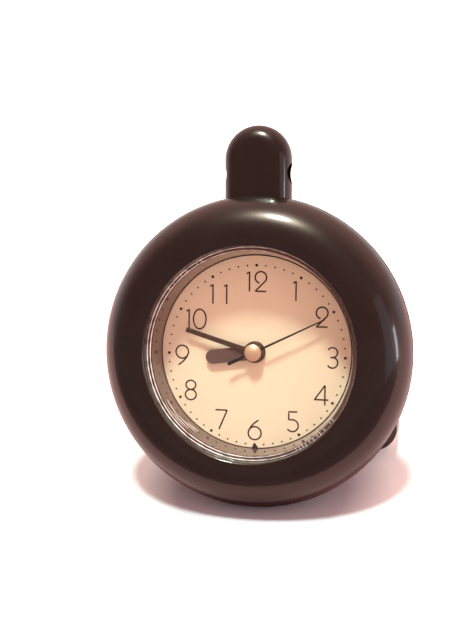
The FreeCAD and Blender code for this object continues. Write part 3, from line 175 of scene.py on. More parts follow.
def piece(name, shape, body, material, stands_for=()):
    """Makes the object, turns its faces outwards and shades it smooth but for edges over SHARP_EDGE."""
    points, faces = shape
    mesh = bpy.data.meshes.new(name)
    mesh.from_pydata(stand(points).tolist(), [], faces)
    mesh.validate()
    made = bpy.data.objects.new(name, mesh)
    bpy.context.scene.collection.objects.link(made)
    bpy.ops.object.select_all(action="DESELECT")
    made.select_set(True)
    bpy.context.view_layer.objects.active = made
    bpy.ops.object.mode_set(mode="EDIT")
    bpy.ops.mesh.select_all(action="SELECT")
    bpy.ops.mesh.normals_make_consistent(inside=False)
    bpy.ops.object.mode_set(mode="OBJECT")
    mesh.polygons.foreach_set("use_smooth", np.ones(len(mesh.polygons), bool))
    mesh.set_sharp_from_angle(angle=SHARP_EDGE)
    mesh.materials.append(material)
    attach(made, body)
    if stands_for:
        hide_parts(*stands_for)


# Finishes

def new_finish(name):
    """The material with its nodes and links, or with none where the finish has been made before."""
    name += "_finish"
    material = bpy.data.materials.get(name)
    if material:
        return material, None, None
    material = bpy.data.materials.new(name)
    material.use_nodes = True
    return material, material.node_tree.nodes, material.node_tree.links


def rgb(value):
    """Red, green and blue of a colour that a user can change."""
    return tuple(value)[:3]


def feed(links, socket, value):
    """Gives a socket a number, three numbers of a colour, or another node's output."""
    if isinstance(value, tuple):
        socket.default_value = (*value, 1)
    elif isinstance(value, (int, float)):
        socket.default_value = value
    else:
        links.new(value, socket)


def scattered(nodes, links, scale, stretch=(1, 1, 1)):
    """Noise on the object's own coordinates, in spots of about 1 / scale metres."""
    place = nodes.new("ShaderNodeTexCoord")
    mapping = nodes.new("ShaderNodeMapping")
    mapping.inputs["Scale"].default_value = stretch
    noise = nodes.new("ShaderNodeTexNoise")
    noise.inputs["Scale"].default_value = scale
    noise.inputs["Detail"].default_value = 3.0
    links.new(place.outputs["Object"], mapping.inputs["Vector"])
    links.new(mapping.outputs["Vector"], noise.inputs["Vector"])
    return noise.outputs["Fac"]


def spread(nodes, links, factor, low, high):
    """Carries a noise value from its usual 0.3 to 0.7 over to the range from low to high."""
    reach = nodes.new("ShaderNodeMapRange")
    reach.inputs["From Min"].default_value = 0.3
    reach.inputs["From Max"].default_value = 0.7
    reach.inputs["To Min"].default_value = low
    reach.inputs["To Max"].default_value = high
    links.new(factor, reach.inputs["Value"])
    return reach.outputs["Result"]


def shaded(nodes, links, factor, first, second, blend="MIX"):
    """Mixes two colours by a value, or multiplies the first by the second where blend says so."""
    mix = nodes.new("ShaderNodeMix")
    mix.data_type = "RGBA"
    mix.blend_type = blend
    feed(links, mix.inputs["Factor"], factor)
    feed(links, mix.inputs["A"], first)
    feed(links, mix.inputs["B"], second)
    return mix.outputs["Result"]


def reckoned(nodes, links, operation, *values):
    """The result of one Math node, whose values are numbers or other nodes' outputs."""
    maths = nodes.new("ShaderNodeMath")
    maths.operation = operation
    for socket, value in zip(maths.inputs, values):
        feed(links, socket, value)
    return maths.outputs["Value"]


def either_shader(nodes, links, factor, first, second):
    """Mixes two shaders into the surface: the first where the factor is 0, the second where it is 1."""
    mix = nodes.new("ShaderNodeMixShader")
    links.new(factor, mix.inputs["Fac"])
    links.new(first, mix.inputs[1])
    links.new(second, mix.inputs[2])
    links.new(mix.outputs["Shader"], nodes["Material Output"].inputs["Surface"])


def finish(name, colour, other=None, metallic=0.0, rough=(0.35, 0.5), spots=400, bumps=0.0,
           bump_spots=2500, stretch=(1, 1, 1), coat=0.0, gleam=(1, 1, 1)):
    """A procedural finish: two near colours in soft spots, an uneven roughness and a fine bump.

    Spots are counted to the metre, and stretch squeezes them along an axis. Gleam tints what it mirrors.
    """
    material, nodes, links = new_finish(name)
    if nodes is None:
        return material
    shader = nodes["Principled BSDF"]
    other = other or tuple(c * 0.86 for c in colour)
    noise = scattered(nodes, links, spots, stretch=stretch)
    links.new(shaded(nodes, links, noise, colour, other), shader.inputs["Base Color"])
    links.new(spread(nodes, links, noise, *rough), shader.inputs["Roughness"])
    shader.inputs["Metallic"].default_value = metallic
    shader.inputs["IOR"].default_value = 1.5
    shader.inputs["Specular Tint"].default_value = (*gleam, 1)
    shader.inputs["Coat Weight"].default_value = coat
    shader.inputs["Coat Roughness"].default_value = 0.05
    if bumps:
        bump = nodes.new("ShaderNodeBump")
        bump.inputs["Strength"].default_value = bumps
        bump.inputs["Distance"].default_value = 0.1 * MM
        links.new(scattered(nodes, links, bump_spots, stretch=stretch), bump.inputs["Height"])
        links.new(bump.outputs["Normal"], shader.inputs["Normal"])
    return material


def window_finish(colours):
    """Clear moulded plastic. Shadow and diffuse rays pass straight through, so the dial is lit."""
    material, nodes, links = new_finish("clear_window")
    if nodes is None:
        return material
    shader = nodes["Principled BSDF"]
    shader.inputs["Base Color"].default_value = colours.window
    shader.inputs["Transmission Weight"].default_value = 1.0
    shader.inputs["IOR"].default_value = 1.49
    shader.inputs["Roughness"].default_value = 0.0
    clear = nodes.new("ShaderNodeBsdfTransparent")
    clear.inputs["Color"].default_value = (0.93, 0.93, 0.92, 1)
    ray = nodes.new("ShaderNodeLightPath").outputs
    light = reckoned(nodes, links, "MAXIMUM", ray["Is Shadow Ray"], ray["Is Diffuse Ray"])
    either_shader(nodes, links, light, shader.outputs["BSDF"], clear.outputs["BSDF"])
    return material


def case_finish(colours):
    """Polished black moulding: near black with a warm cast, a faint waviness and fine dust marks."""
    black = rgb(colours.case)
    return finish("case_black", black, tuple(c * 1.5 for c in black), rough=(0.24, 0.3), spots=60,
                  bumps=0.02, bump_spots=90, coat=0.7, gleam=(1, 0.7, 0.64))


def slot_finishes(colours):
    """The finish of each of the record's slots."""
    return {
        "black_gloss": case_finish(colours),
        "black_satin": finish("black_satin", (0.02, 0.018, 0.018), rough=(0.38, 0.5), bumps=0.25),
        "clear_window": window_finish(colours),
        "spacer_brown": finish("spacer_brown", (0.14, 0.073, 0.068), (0.085, 0.043, 0.04), rough=(0.1, 0.16),
                               spots=70, bumps=0.02, bump_spots=120, stretch=(1, 1, 2), coat=1.0),
        "carrier_dark": finish("carrier_dark", (0.06, 0.04, 0.034), rough=(0.5, 0.65), bumps=0.2),
        "soft_seal": finish("soft_seal", (0.018, 0.018, 0.018), rough=(0.7, 0.85), bumps=0.3),
        "dial_card": dial_finish(colours),
        "carrier_plastic": finish("carrier_plastic", (0.72, 0.7, 0.64), rough=(0.5, 0.65), bumps=0.2),
        "movement_plastic": finish("movement_plastic", (0.06, 0.06, 0.065), rough=(0.5, 0.62), bumps=0.3),
        "wheel_plastic": finish("wheel_plastic", (0.83, 0.82, 0.78), rough=(0.35, 0.5), bumps=0.1),
        "zinc_steel": finish("zinc_steel", (0.58, 0.59, 0.6), metallic=1.0, rough=(0.25, 0.4),
                             bumps=0.2, stretch=(1, 1, 12)),
        "nickel_brass": finish("nickel_brass", (0.3, 0.19, 0.15), metallic=1.0, rough=(0.22, 0.35),
                               bumps=0.1),
        "magnet": finish("magnet", (0.16, 0.16, 0.17), metallic=0.9, rough=(0.4, 0.55), bumps=0.3),
        "copper_wire": winding_finish(),
        "board_green": finish("board_green", (0.03, 0.16, 0.07), rough=(0.3, 0.45), bumps=0.15),
        "chip_black": finish("chip_black", (0.015, 0.015, 0.016), rough=(0.5, 0.6), bumps=0.3),
        "cell_wrap": finish("cell_wrap", (0.5, 0.51, 0.53), metallic=0.6, rough=(0.2, 0.3), spots=150),
        "contact_spring": finish("contact_spring", (0.7, 0.69, 0.66), metallic=1.0, rough=(0.22, 0.34),
                                 bumps=0.1, stretch=(1, 8, 1)),
        "hand_dark": finish("hand_dark", rgb(colours.hour_hand), rough=(0.38, 0.5), bumps=0.12),
        "hand_grey": finish("hand_grey", rgb(colours.minute_hand), rough=(0.35, 0.45), bumps=0.12),
        "hand_black": finish("hand_black", (0.012, 0.011, 0.011), rough=(0.35, 0.45), bumps=0.1),
        "rose_metal": finish("rose_metal", rgb(colours.cap), metallic=0.6, rough=(0.35, 0.45),
                             bumps=0.12, spots=900),
    }


def dial_finish(colours):
    """Cream card: faint mottling of the print coat and a fine tooth."""
    cream = rgb(colours.dial)
    return finish("dial_card", cream, tuple(c * 0.94 for c in cream), rough=(0.55, 0.7), spots=110,
                  bumps=0.06, bump_spots=3500)


def winding_finish():
    """Enamelled copper wire: bands round the coil, one wire wide."""
    material, nodes, links = new_finish("copper_wire")
    if nodes is None:
        return material
    shader = nodes["Principled BSDF"]
    shader.inputs["Metallic"].default_value = 1.0
    place = nodes.new("ShaderNodeTexCoord")
    wave = nodes.new("ShaderNodeTexWave")
    wave.bands_direction = "X"
    wave.inputs["Scale"].default_value = 900
    wave.inputs["Distortion"].default_value = 0.4
    links.new(place.outputs["Object"], wave.inputs["Vector"])
    colour = shaded(nodes, links, wave.outputs["Fac"], (0.42, 0.14, 0.05), (0.78, 0.36, 0.18))
    links.new(colour, shader.inputs["Base Color"])
    links.new(spread(nodes, links, wave.outputs["Fac"], 0.25, 0.4), shader.inputs["Roughness"])
    return material


# Sizes and colours that a user would change

def length(name, words, millimetres):
    """A size that a user can change, given in millimetres and kept in metres."""
    return bpy.props.FloatProperty(name=name, description=words, default=millimetres * MM, unit="LENGTH",
                                   precision=5)


def colour(name, words, value):
    """A colour that a user can change: red, green, blue and alpha."""
    return bpy.props.FloatVectorProperty(name=name, description=words, default=value, subtype="COLOR",
                                         size=4, min=0.0, max=1.0)


class ClockSizes(bpy.types.PropertyGroup):
    outer_radius: length("Ring radius", "Largest radius of the ring", 50.0)
    rim_round: length("Ring section", "Radius of the ring's round section", 13.5)
    ring_setback: length("Ring setback", "The ring's widest plane behind the dial face", 0.5)
    roll_radius: length("Window roll", "Tight roll of the ring at the window", 0.7)
    window_radius: length("Window radius", "Inside of the window tube", 33.7)
    tube_wall: length("Tube wall", "Wall of the window tube", 1.8)
    case_wall: length("Case wall", "Wall of the moulded case", 2.2)
    parting_front: length("Parting plane", "Parting plane before the dial face", 1.1)
    lens_front: length("Window height", "Front of the window before the dial face", 9.0)
    lens_thickness: length("Window thickness", "Flat front of the window", 1.8)
    # The rim lines are painted highlights on the window's moulded edges
    rim_line: length("Rim lines", "Half the usual width of the moulded lines round the window", 0.17)
    dial_radius: length("Dial radius", "Radius of the dial card", 30.85)
    dial_thickness: length("Dial thickness", "Thickness of the dial card", 0.5)
    notch_radius: length("Dial notch", "Locating notch at the foot of the dial", 0.95)
    dot_circle: length("Dot circle", "Radius of the circle of minute dots", 28.8)
    numeral_circle: length("Numeral circle", "Radius of the numerals' centres", 24.0)
    numeral_height: length("Numeral height", "Height of the numerals", 6.6)
    numeral_stroke: length("Numeral stroke", "Width of the numerals' line", 0.5)
    print_drop: length("Print drop", "Print below the middle of the dial", 1.05)
    print_aside: length("Print aside", "Print to the right of the middle of the dial", 0.2)
    print_turn: bpy.props.FloatProperty(name="Print turn", description="Print turned clockwise on the dial",
                                        default=math.radians(0.65), subtype="ANGLE")
    hand_thickness: length("Hand thickness", "Thickness of the three hands", 0.35)


class ClockColours(bpy.types.PropertyGroup):
    case: colour("Case", "Polished black moulding", (0.01, 0.006, 0.0055, 1))
    window: colour("Window", "Clear moulded window", (0.985, 0.98, 0.965, 1))
    dial: colour("Dial", "Cream dial card", (0.93, 0.77, 0.58, 1))
    ink: colour("Ink", "Printed numerals and dots", (0.035, 0.012, 0.006, 1))
    hour_hand: colour("Hour hand", "Lacquered hour hand", (0.14, 0.075, 0.067, 1))
    minute_hand: colour("Minute hand", "Lacquered minute hand", (0.075, 0.033, 0.022, 1))
    cap: colour("Centre cap", "Rose metal cap", (0.98, 0.62, 0.42, 1))


def settings():
    """The sizes and colours as the scene holds them now."""
    scene = bpy.context.scene
    return scene.desk_clock_sizes, scene.desk_clock_colours


# The moulded ring and the window

class DESKCLOCK_OT_ring(bpy.types.Operator):
    """Front part of the ring, turned from its section, with the window tube"""

    bl_idname = "deskclock.ring"
    bl_label = "Ring"

    def execute(self, context):
        sizes, colours = settings()
        r, plane = sizes.rim_round, -sizes.ring_setback
        centre = sizes.outer_radius - r
        low, edge = sizes.parting_front, 0.4 * MM
        tube, tube_end, roll = sizes.window_radius, 1.6 * MM, sizes.roll_radius
        start = math.degrees(math.asin((low + edge - plane) / r))
        skin = centre + r * math.cos(math.radians(start))
        crest = plane + math.sqrt(r * r - (tube + roll - centre) ** 2)
        top = math.degrees(math.acos((tube + roll - centre) / r))
        hollow = r - sizes.case_wall
        inner_start = math.degrees(math.acos((tube + sizes.tube_wall - centre) / hollow))
        inner_end = math.degrees(math.asin((low - plane) / hollow))
        profile = np.concatenate((
            arc(skin - edge, low + edge, edge, -90, 0, 6),
            arc(centre, plane, r, start, top, 96)[1:],
            arc(tube + roll, crest - roll, roll, 90, 180, 40),
            [(tube, tube_end), (tube + sizes.tube_wall, tube_end)],
            arc(centre, plane, hollow, inner_start, inner_end, 48),
        ))
        piece("ring_front", revolved(profile, 360), "case", case_finish(colours),
              ("front_bezel",))
        return {"FINISHED"}


class DESKCLOCK_OT_window(bpy.types.Operator):
    """Clear flat window with a softened edge"""

    bl_idname = "deskclock.window"
    bl_label = "Window"

    def execute(self, context):
        sizes, colours = settings()
        clearance, soft, flat = 0.1 * MM, 0.3 * MM, 0.05 * MM
        outside = sizes.window_radius - clearance
        front, back = sizes.lens_front, sizes.lens_front - sizes.lens_thickness
        # A flat ring beside the edge keeps the edge's smooth shading off the rest of the face
        profile = np.concatenate((
            [(0, back), (outside - soft - flat, back), (outside - soft, back), (outside, back + soft)],
            arc(outside - soft, front - soft, soft, 0, 90, 6),
            [(outside - soft - flat, front), (0, front)],
        ))
        piece("window_disc", revolved(profile, 256, closed=False), "case",
              window_finish(colours), ("lens",))
        return {"FINISHED"}


# The two pale lines round the window, painted highlights on its moulded edges, each as its inset in
# millimetres, its share of the line width and a phase
RIM_HIGHLIGHT_LINES = ((0.3, 1.0, 0.0), (1.3, 0.8, 1.7))
# Painted glints from the inner line outwards, each a clock angle and a share of the space between the lines
RIM_GLINT_MARKS = (
    (127, 1), (129, 0.6), (134, 1), (137, 1.1), (139, 0.7), (142, 1.2), (144.5, 0.8), (147, 1.2), (149, 1),
    (151, 1.2), (153, 0.7), (308, 0.8), (312, 1), (318, 1), (322, 0.9), (329, 0.7), (332, 1),
)
# Fine painted streaks of light inside the lines, each its middle and half its length in degrees and its inset
# in millimetres
RIM_LIGHT_STREAKS = ((231, 9, 0.7), (226, 7, 1.3), (222, 8, 2.0), (235, 6, 1.7), (218, 5, 2.6))


class DESKCLOCK_OT_window_rim(bpy.types.Operator):
    """Two fine uneven pale lines round the window's moulded edge, painted highlights, with painted glints
    between them and painted streaks of light inside
    """

    bl_idname = "deskclock.window_rim"
    bl_label = "Window rim"

    def execute(self, context):
        sizes = settings()[0]
        # Pale finish that stands in for bright edge light: the lines, marks and streaks are painted
        # highlights and glints
        edge = finish("window_rim_glints", (0.9, 0.85, 0.82), (0.75, 0.66, 0.62), rough=(0.1, 0.2), spots=700,
                      coat=1.0)
        top = sizes.lens_front
        outer, inner = (sizes.window_radius - inset * MM for inset, _, _ in RIM_HIGHLIGHT_LINES)
        shapes = [self.line(radius, top, sizes.rim_line * share, phase)
                  for radius, (_, share, phase) in zip((outer, inner), RIM_HIGHLIGHT_LINES)]
        glint_mark_half, glint_mark_height = 0.1 * MM, 0.1 * MM
        for angle, share in RIM_GLINT_MARKS:
            path = np.array(((0, inner), (0, inner + (outer - inner) * share)))
            shapes.append(aimed(band(path, glint_mark_half, top, top + glint_mark_height), angle))
        light_streak_half, light_streak_height = 0.09 * MM, 0.05 * MM
        for middle, half, inset in RIM_LIGHT_STREAKS:
            path = arc(0, 0, inner - inset * MM, 90 - middle - half, 90 - middle + half, 24)
            taper = light_streak_half * np.cos(np.linspace(-1.5, 1.5, len(path)))
            shapes.append(band(path, taper, top, top + light_streak_height))
        piece("window_rim_glints", joined(shapes), "case", edge)
        return {"FINISHED"}

    def line(self, radius, height, thickness, phase):
        """A thin ring of round section, a painted highlight. At clock angle a its section's radius is the
        thickness times a swell.

        The swell puts the painted highlight where the edge catches light: 0.65 - 0.63 cos(a - 92 degrees),
        largest at the left and nearly gone at the right.
        At the foot it gains 0.5 exp(-((a - 190 degrees) / 0.5) squared), and sines of 23 a, 7 a and 61 a make
        it waver.
        """
        a = np.linspace(0, 2 * math.pi, 1080, endpoint=False)[:, None]
        b = np.linspace(0, 2 * math.pi, 8, endpoint=False)[None, :]
        foot = 0.5 * np.exp(-((a - math.radians(190)) / 0.5) ** 2)
        highlight_swell = 0.65 - 0.63 * np.cos(a - math.radians(92)) + foot
        waver = (0.35 * np.sin(23 * a + phase) * np.sin(7 * a + 2 * phase)
                 + 0.2 * np.sin(61 * a + 3 * phase))
        size = thickness * np.clip(highlight_swell * (1 + waver), 0.04, 1.5)
        r = radius + size * np.cos(b)
        points = np.stack((np.sin(a) * r, np.cos(a) * r, height + size * np.sin(b)), axis=-1)
        faces = grid_faces(a.size, b.size, round_rows=True, round_columns=True)
        return welded(points.reshape(-1, 3), faces)


# The print on the dial

def curve(first, pull, last, steps=14):
    """A quadratic curve: first and last weighted by (1 - t) squared and t squared, pull by 2 t (1 - t)."""
    t = np.linspace(0, 1, steps + 1)[:, None]
    first, pull, last = (np.asarray(p, float) for p in (first, pull, last))
    return first * (1 - t) ** 2 + pull * 2 * t * (1 - t) + last * t ** 2


# Each digit's width, and the space before the second digit of 10, 11 and 12, as shares of the height
DIGIT_WIDTHS = {"0": 0.66, "1": 0.16, "2": 0.57, "3": 0.56, "4": 0.7,
                "5": 0.56, "6": 0.66, "7": 0.61, "8": 0.56, "9": 0.66}
DIGIT_SPACES = {10: 0.2, 11: 0.53, 12: 0.26}


def numeral_lines(digit):
    """The lines that draw a digit, one high, with its lower left corner at (0, 0)."""
    lines = {
        "0": [arc(0.33, 0.5, (0.32, 0.48), 90, 450, 56)],
        "1": [np.array([(0.01, 0.87), (0.15, 0.97), (0.15, 0.02)])],
        "2": [np.concatenate((arc(0.29, 0.7, 0.28, 255, -38, 36), [(0.02, 0.03)])),
              np.array([(0.01, 0.03), (0.56, 0.03)])],
        "3": [arc(0.28, 0.745, 0.24, 150, -90, 28), arc(0.28, 0.26, 0.255, 90, -150, 30),
              np.array([(0.18, 0.51), (0.29, 0.51)])],
        "4": [np.array([(0.52, 0.98), (0.02, 0.28)]), np.array([(0.0, 0.28), (0.69, 0.28)]),
              np.array([(0.52, 0.98), (0.52, 0.02)])],
        "5": [np.concatenate(([(0.5, 0.97), (0.08, 0.97), (0.08, 0.59)],
                              arc(0.26, 0.3, 0.29, 105, -145, 30)))],
        "6": [arc(0.33, 0.33, 0.32, 90, 450, 48), curve((0.52, 0.98), (0.08, 0.7), (0.01, 0.35))],
        "7": [np.array([(0.0, 0.97), (0.6, 0.97)]), np.array([(0.59, 0.97), (0.19, 0.02)])],
        "8": [arc(0.28, 0.755, (0.25, 0.225), -90, 270, 40),
              arc(0.28, 0.275, (0.275, 0.255), 90, 450, 44)],
        "9": [arc(0.33, 0.67, 0.32, 90, 450, 48), curve((0.14, 0.02), (0.58, 0.3), (0.65, 0.65))],
    }
    return lines[digit]


def filled(line, steps=3):
    """The same line with its straight runs divided, so that a strip along it keeps its width."""
    line = np.asarray(line, float)
    t = np.arange(len(line))
    more = np.unique(np.concatenate([t[:-1] + k / steps for k in range(steps)] + [t[-1:]]))
    return np.column_stack([np.interp(more, t, line[:, k]) for k in (0, 1)])


# The print's underside and top over the dial's face
PRINT_LOW, PRINT_HIGH = 0.0, 0.02 * MM
# The numerals stand on an oval, this much wider than their circle
NUMERAL_OVAL = 1.03
# How far a numeral's middle lies off its place on the oval, in millimetres
NUMERAL_SHIFTS = {2: (-0.2, 0.7), 7: (1.3, -0.4), 9: (0.3, -0.7),
                  10: (1.6, -0.8), 11: (-0.1, -1.4), 12: (0, -0.4)}
HOUR_DOT, MINUTE_DOT = 0.48 * MM, 0.29 * MM


class DESKCLOCK_OT_dial(bpy.types.Operator):
    """Dial card with a softened edge and the locating notch at its foot"""

    bl_idname = "deskclock.dial"
    bl_label = "Dial"

    def execute(self, context):
        sizes, colours = settings()
        radius, notch, hole, soft = sizes.dial_radius, sizes.notch_radius, 2.6 * MM, 0.03 * MM
        a = np.unique(np.concatenate((
            np.linspace(0, 2 * math.pi, 360, endpoint=False),
            math.pi + np.linspace(-1, 1, 41) * math.asin(notch / radius),
        )))
        # Inside the notch the edge is where a ray at angle a meets a circle round the dial's lowest point
        across = notch ** 2 - (radius * np.sin(a)) ** 2
        low = (across > 0) & (np.cos(a) < 0)
        edge = np.where(low, -radius * np.cos(a) - np.sqrt(np.maximum(across, 0)), radius)
        thick = sizes.dial_thickness
        rings = ((hole, -thick), (edge, -thick), (edge, -soft), (edge - soft, 0), (hole, 0))
        points = np.stack([
            np.column_stack((np.sin(a) * r, np.cos(a) * r, np.full(len(a), z))) for r, z in rings
        ])
        faces = grid_faces(len(rings), len(a), round_rows=True, round_columns=True)
        shape = welded(points.reshape(-1, 3), faces)
        piece("dial_card", shape, "case", dial_finish(colours), ("dial",))
        return {"FINISHED"}


class DESKCLOCK_OT_dial_print(bpy.types.Operator):
    """Numerals drawn with an even line, and the circle of minute dots"""

    bl_idname = "deskclock.dial_print"
    bl_label = "Dial print"

    def execute(self, context):
        sizes, colours = settings()
        ink = finish("printed_ink", rgb(colours.ink), rough=(0.4, 0.55), spots=1500)
        high = sizes.numeral_height
        strokes = []
        for hour in range(1, 13):
            digits = str(hour)
            space = DIGIT_SPACES.get(hour, 0)
            total = sum(DIGIT_WIDTHS[digit] for digit in digits) + space
            angle = math.radians(30 * hour)
            right, up = NUMERAL_SHIFTS.get(hour, (0, 0))
            x0 = sizes.numeral_circle * NUMERAL_OVAL * math.sin(angle) - total * high / 2 + right * MM
            y0 = sizes.numeral_circle * math.cos(angle) - high / 2 + up * MM
            for digit in digits:
                for line in numeral_lines(digit):
                    path = filled(line) * high + (x0, y0)
                    strokes.append(band(path, sizes.numeral_stroke / 2, PRINT_LOW, PRINT_HIGH))
                x0 += (DIGIT_WIDTHS[digit] + space) * high
        piece("dial_numerals", self.placed(joined(strokes), sizes), "case", ink)
        dots = []
        for minute in range(60):
            radius = HOUR_DOT if minute % 5 == 0 else MINUTE_DOT
            angle = math.radians(6 * minute)
            profile = ((0, PRINT_HIGH), (radius, PRINT_HIGH), (radius, PRINT_LOW), (0, PRINT_LOW))
            disc, faces = revolved(profile, 16, closed=False)
            place = (sizes.dot_circle * math.sin(angle), sizes.dot_circle * math.cos(angle), 0)
            dots.append((disc + place, faces))
        piece("dial_dots", self.placed(joined(dots), sizes), "case", ink)
        return {"FINISHED"}

    def placed(self, shape, sizes):
        """The print, turned and moved to where it lies on the card."""
        points, faces = aimed(shape, math.degrees(sizes.print_turn))
        return points + (sizes.print_aside, -sizes.print_drop, 0), faces


# The hands and the cap

# Where each hand's underside lies over the dial's face, and the clock angle that it points at
HOUR_BASE, HOUR_ANGLE = 1.3 * MM, 263.0
MINUTE_BASE, MINUTE_ANGLE = 2.1 * MM, 287.7
SECOND_BASE, SECOND_ANGLE = 2.95 * MM, 64.8


def hub(bore, radius, low, high):
    """Flat ring of a hand round its pipe, with a softened outer edge."""
    soft = 0.08 * MM
    profile = ((bore, low), (radius, low), (radius, high - soft), (radius - soft, high), (bore, high))
    return revolved(profile, 64)


def hand(along, half, base, bevel, hub_bore, hub_radius, angle):
    """A strip along the y axis with its hub, turned to its clock angle.

    Half is the strip's half width at each place along it.
    """
    high = base + settings()[0].hand_thickness
    path = np.column_stack((np.zeros(len(along)), along))
    strip = band(path, half, base, high, bevel)
    return aimed(joined([strip, hub(hub_bore, hub_radius, base, high)]), angle)


class DESKCLOCK_OT_hands(bpy.types.Operator):
    """Hour paddle, minute bar and second needle"""

    bl_idname = "deskclock.hands"
    bl_label = "Hands"

    def execute(self, context):
        finishes = slot_finishes(settings()[1])
        half_width, start, end = 2.3 * MM, 1.9 * MM, 16.0 * MM
        bend = np.linspace(0, math.pi / 2, 16)
        along = np.concatenate(([start], end - half_width + half_width * np.sin(bend)))
        half = np.concatenate(([half_width], half_width * np.cos(bend)))
        hour = hand(along, half, HOUR_BASE, 0.1 * MM, 1.5 * MM, 3.2 * MM, HOUR_ANGLE)
        piece("hour_paddle", hour, "hours", finishes["hand_dark"], ("hour_hand",))
        along = np.array((1.5, 12.0, 23.3)) * MM
        half = np.array((0.875, 0.81, 0.75)) * MM
        minute = hand(along, half, MINUTE_BASE, 0.12 * MM, 1.2 * MM, 2.4 * MM, MINUTE_ANGLE)
        piece("minute_bar", minute, "minutes", finishes["hand_grey"], ("minute_hand",))
        along = np.array((-9.0, -1.0, 1.0, 25.4)) * MM
        half = np.array((0.5, 0.5, 0.375, 0.2)) * MM
        second = hand(along, half, SECOND_BASE, 0.08 * MM, 0.5 * MM, 1.6 * MM, SECOND_ANGLE)
        piece("second_needle", second, "seconds", finishes["hand_black"], ("second_hand",))
        return {"FINISHED"}


class DESKCLOCK_OT_cap(bpy.types.Operator):
    """Domed cap over the hands: a short upright edge under part of a ball"""

    bl_idname = "deskclock.cap"
    bl_label = "Centre cap"

    def execute(self, context):
        base = SECOND_BASE + settings()[0].hand_thickness
        radius, rise, edge, soft = 2.7 * MM, 0.9 * MM, 0.4 * MM, 0.12 * MM
        ball = (radius ** 2 + rise ** 2) / (2 * rise)
        reach = math.degrees(math.asin(radius / ball))
        # The dome starts this many degrees in from the edge, which leaves a small bevel between them
        bevel = 2.5
        profile = np.concatenate((
            [(0, base), (radius - soft, base), (radius, base + soft), (radius, base + edge - soft)],
            arc(0, base + edge + rise - ball, ball, 90 - reach + bevel, 90, 24),
        ))
        profile[-1, 0] = 0
        finishes = slot_finishes(settings()[1])
        piece("domed_cap", revolved(profile, 96, closed=False), "seconds",
              finishes["rose_metal"], ("centre_cap",))
        return {"FINISHED"}


# What the frame already shapes

class DESKCLOCK_OT_carried_finishes(bpy.types.Operator):
    """Finishes of every piece that keeps its shape from the frame"""

    bl_idname = "deskclock.carried_finishes"
    bl_label = "Finishes"

    def execute(self, context):
        finishes = slot_finishes(settings()[1])
        for row in frame["record"]["subparts"]:
            for slot in frame["nodes"][row["node"]].material_slots:
                slot.material = finishes[row["material_slot"]]
        return {"FINISHED"}


# The table, the light and the camera

TABLE_REACH = 6.0
# Polished surfaces mirror the table as far as this. Past it the table shows mirrored rays a dim brown
# emission, a painted reflection of a dark room in front of it
TABLE_EDGE = -0.062
# Painted shades on the table, which darken it round the clock's foot on top of the real shadow, are centred
# here
PAINTED_SHADE_CENTRE = (0, -20 * MM, 0)
# How far from there a painted shade begins to thin and where it ends, in millimetres, as seen and as mirrored
PAINTED_SEEN_SHADE = (28, 44)
PAINTED_MIRRORED_SHADE = (16, 29)

# The lamp overhead: where it shines from, its width in degrees, its strength and its tint
OVERHEAD = ((0.0, -0.15, 1.0), 9.5, 4.1, (0.82, 1.0, 0.88))
# The lamps at the right: place, width and height in metres, power in watts and tint
SIDE_LAMPS = {
    "side_window": ((0.89, -0.15, 0.12), 0.1, 0.26, 0.75, (0.85, 0.93, 1.0)),
    "side_glow": ((0.8, -0.42, 0.2), 0.42, 0.75, 0.5, (0.72, 0.86, 1.0)),
}
SIDE_TARGET = (0, 0, 0.05)

# The photograph's viewpoint, with the fitted focal length over a 36 mm frame and a slight roll
CAMERA_PLACE = (0.06715, -0.29707, 0.18)
CAMERA_TARGET = (-0.00591, -0.01049, 0.05748)
CAMERA_LENS = 56.0
CAMERA_ROLL = math.radians(-4.853)


def turned_to(place, target):
    """The rotation of a lamp or camera that looks from place to target."""
    return (Vector(target) - Vector(place)).to_track_quat("-Z", "Y")


def lamp(name, kind, place, target, power, tint):
    """Hangs a lamp of one of Blender's kinds at place, turned to target."""
    light = bpy.data.lights.new(name, kind)
    light.energy = power
    light.color = tint
    made = bpy.data.objects.new(name, light)
    made.location = place
    made.rotation_euler = turned_to(place, target).to_euler()
    bpy.context.scene.collection.objects.link(made)
    return light


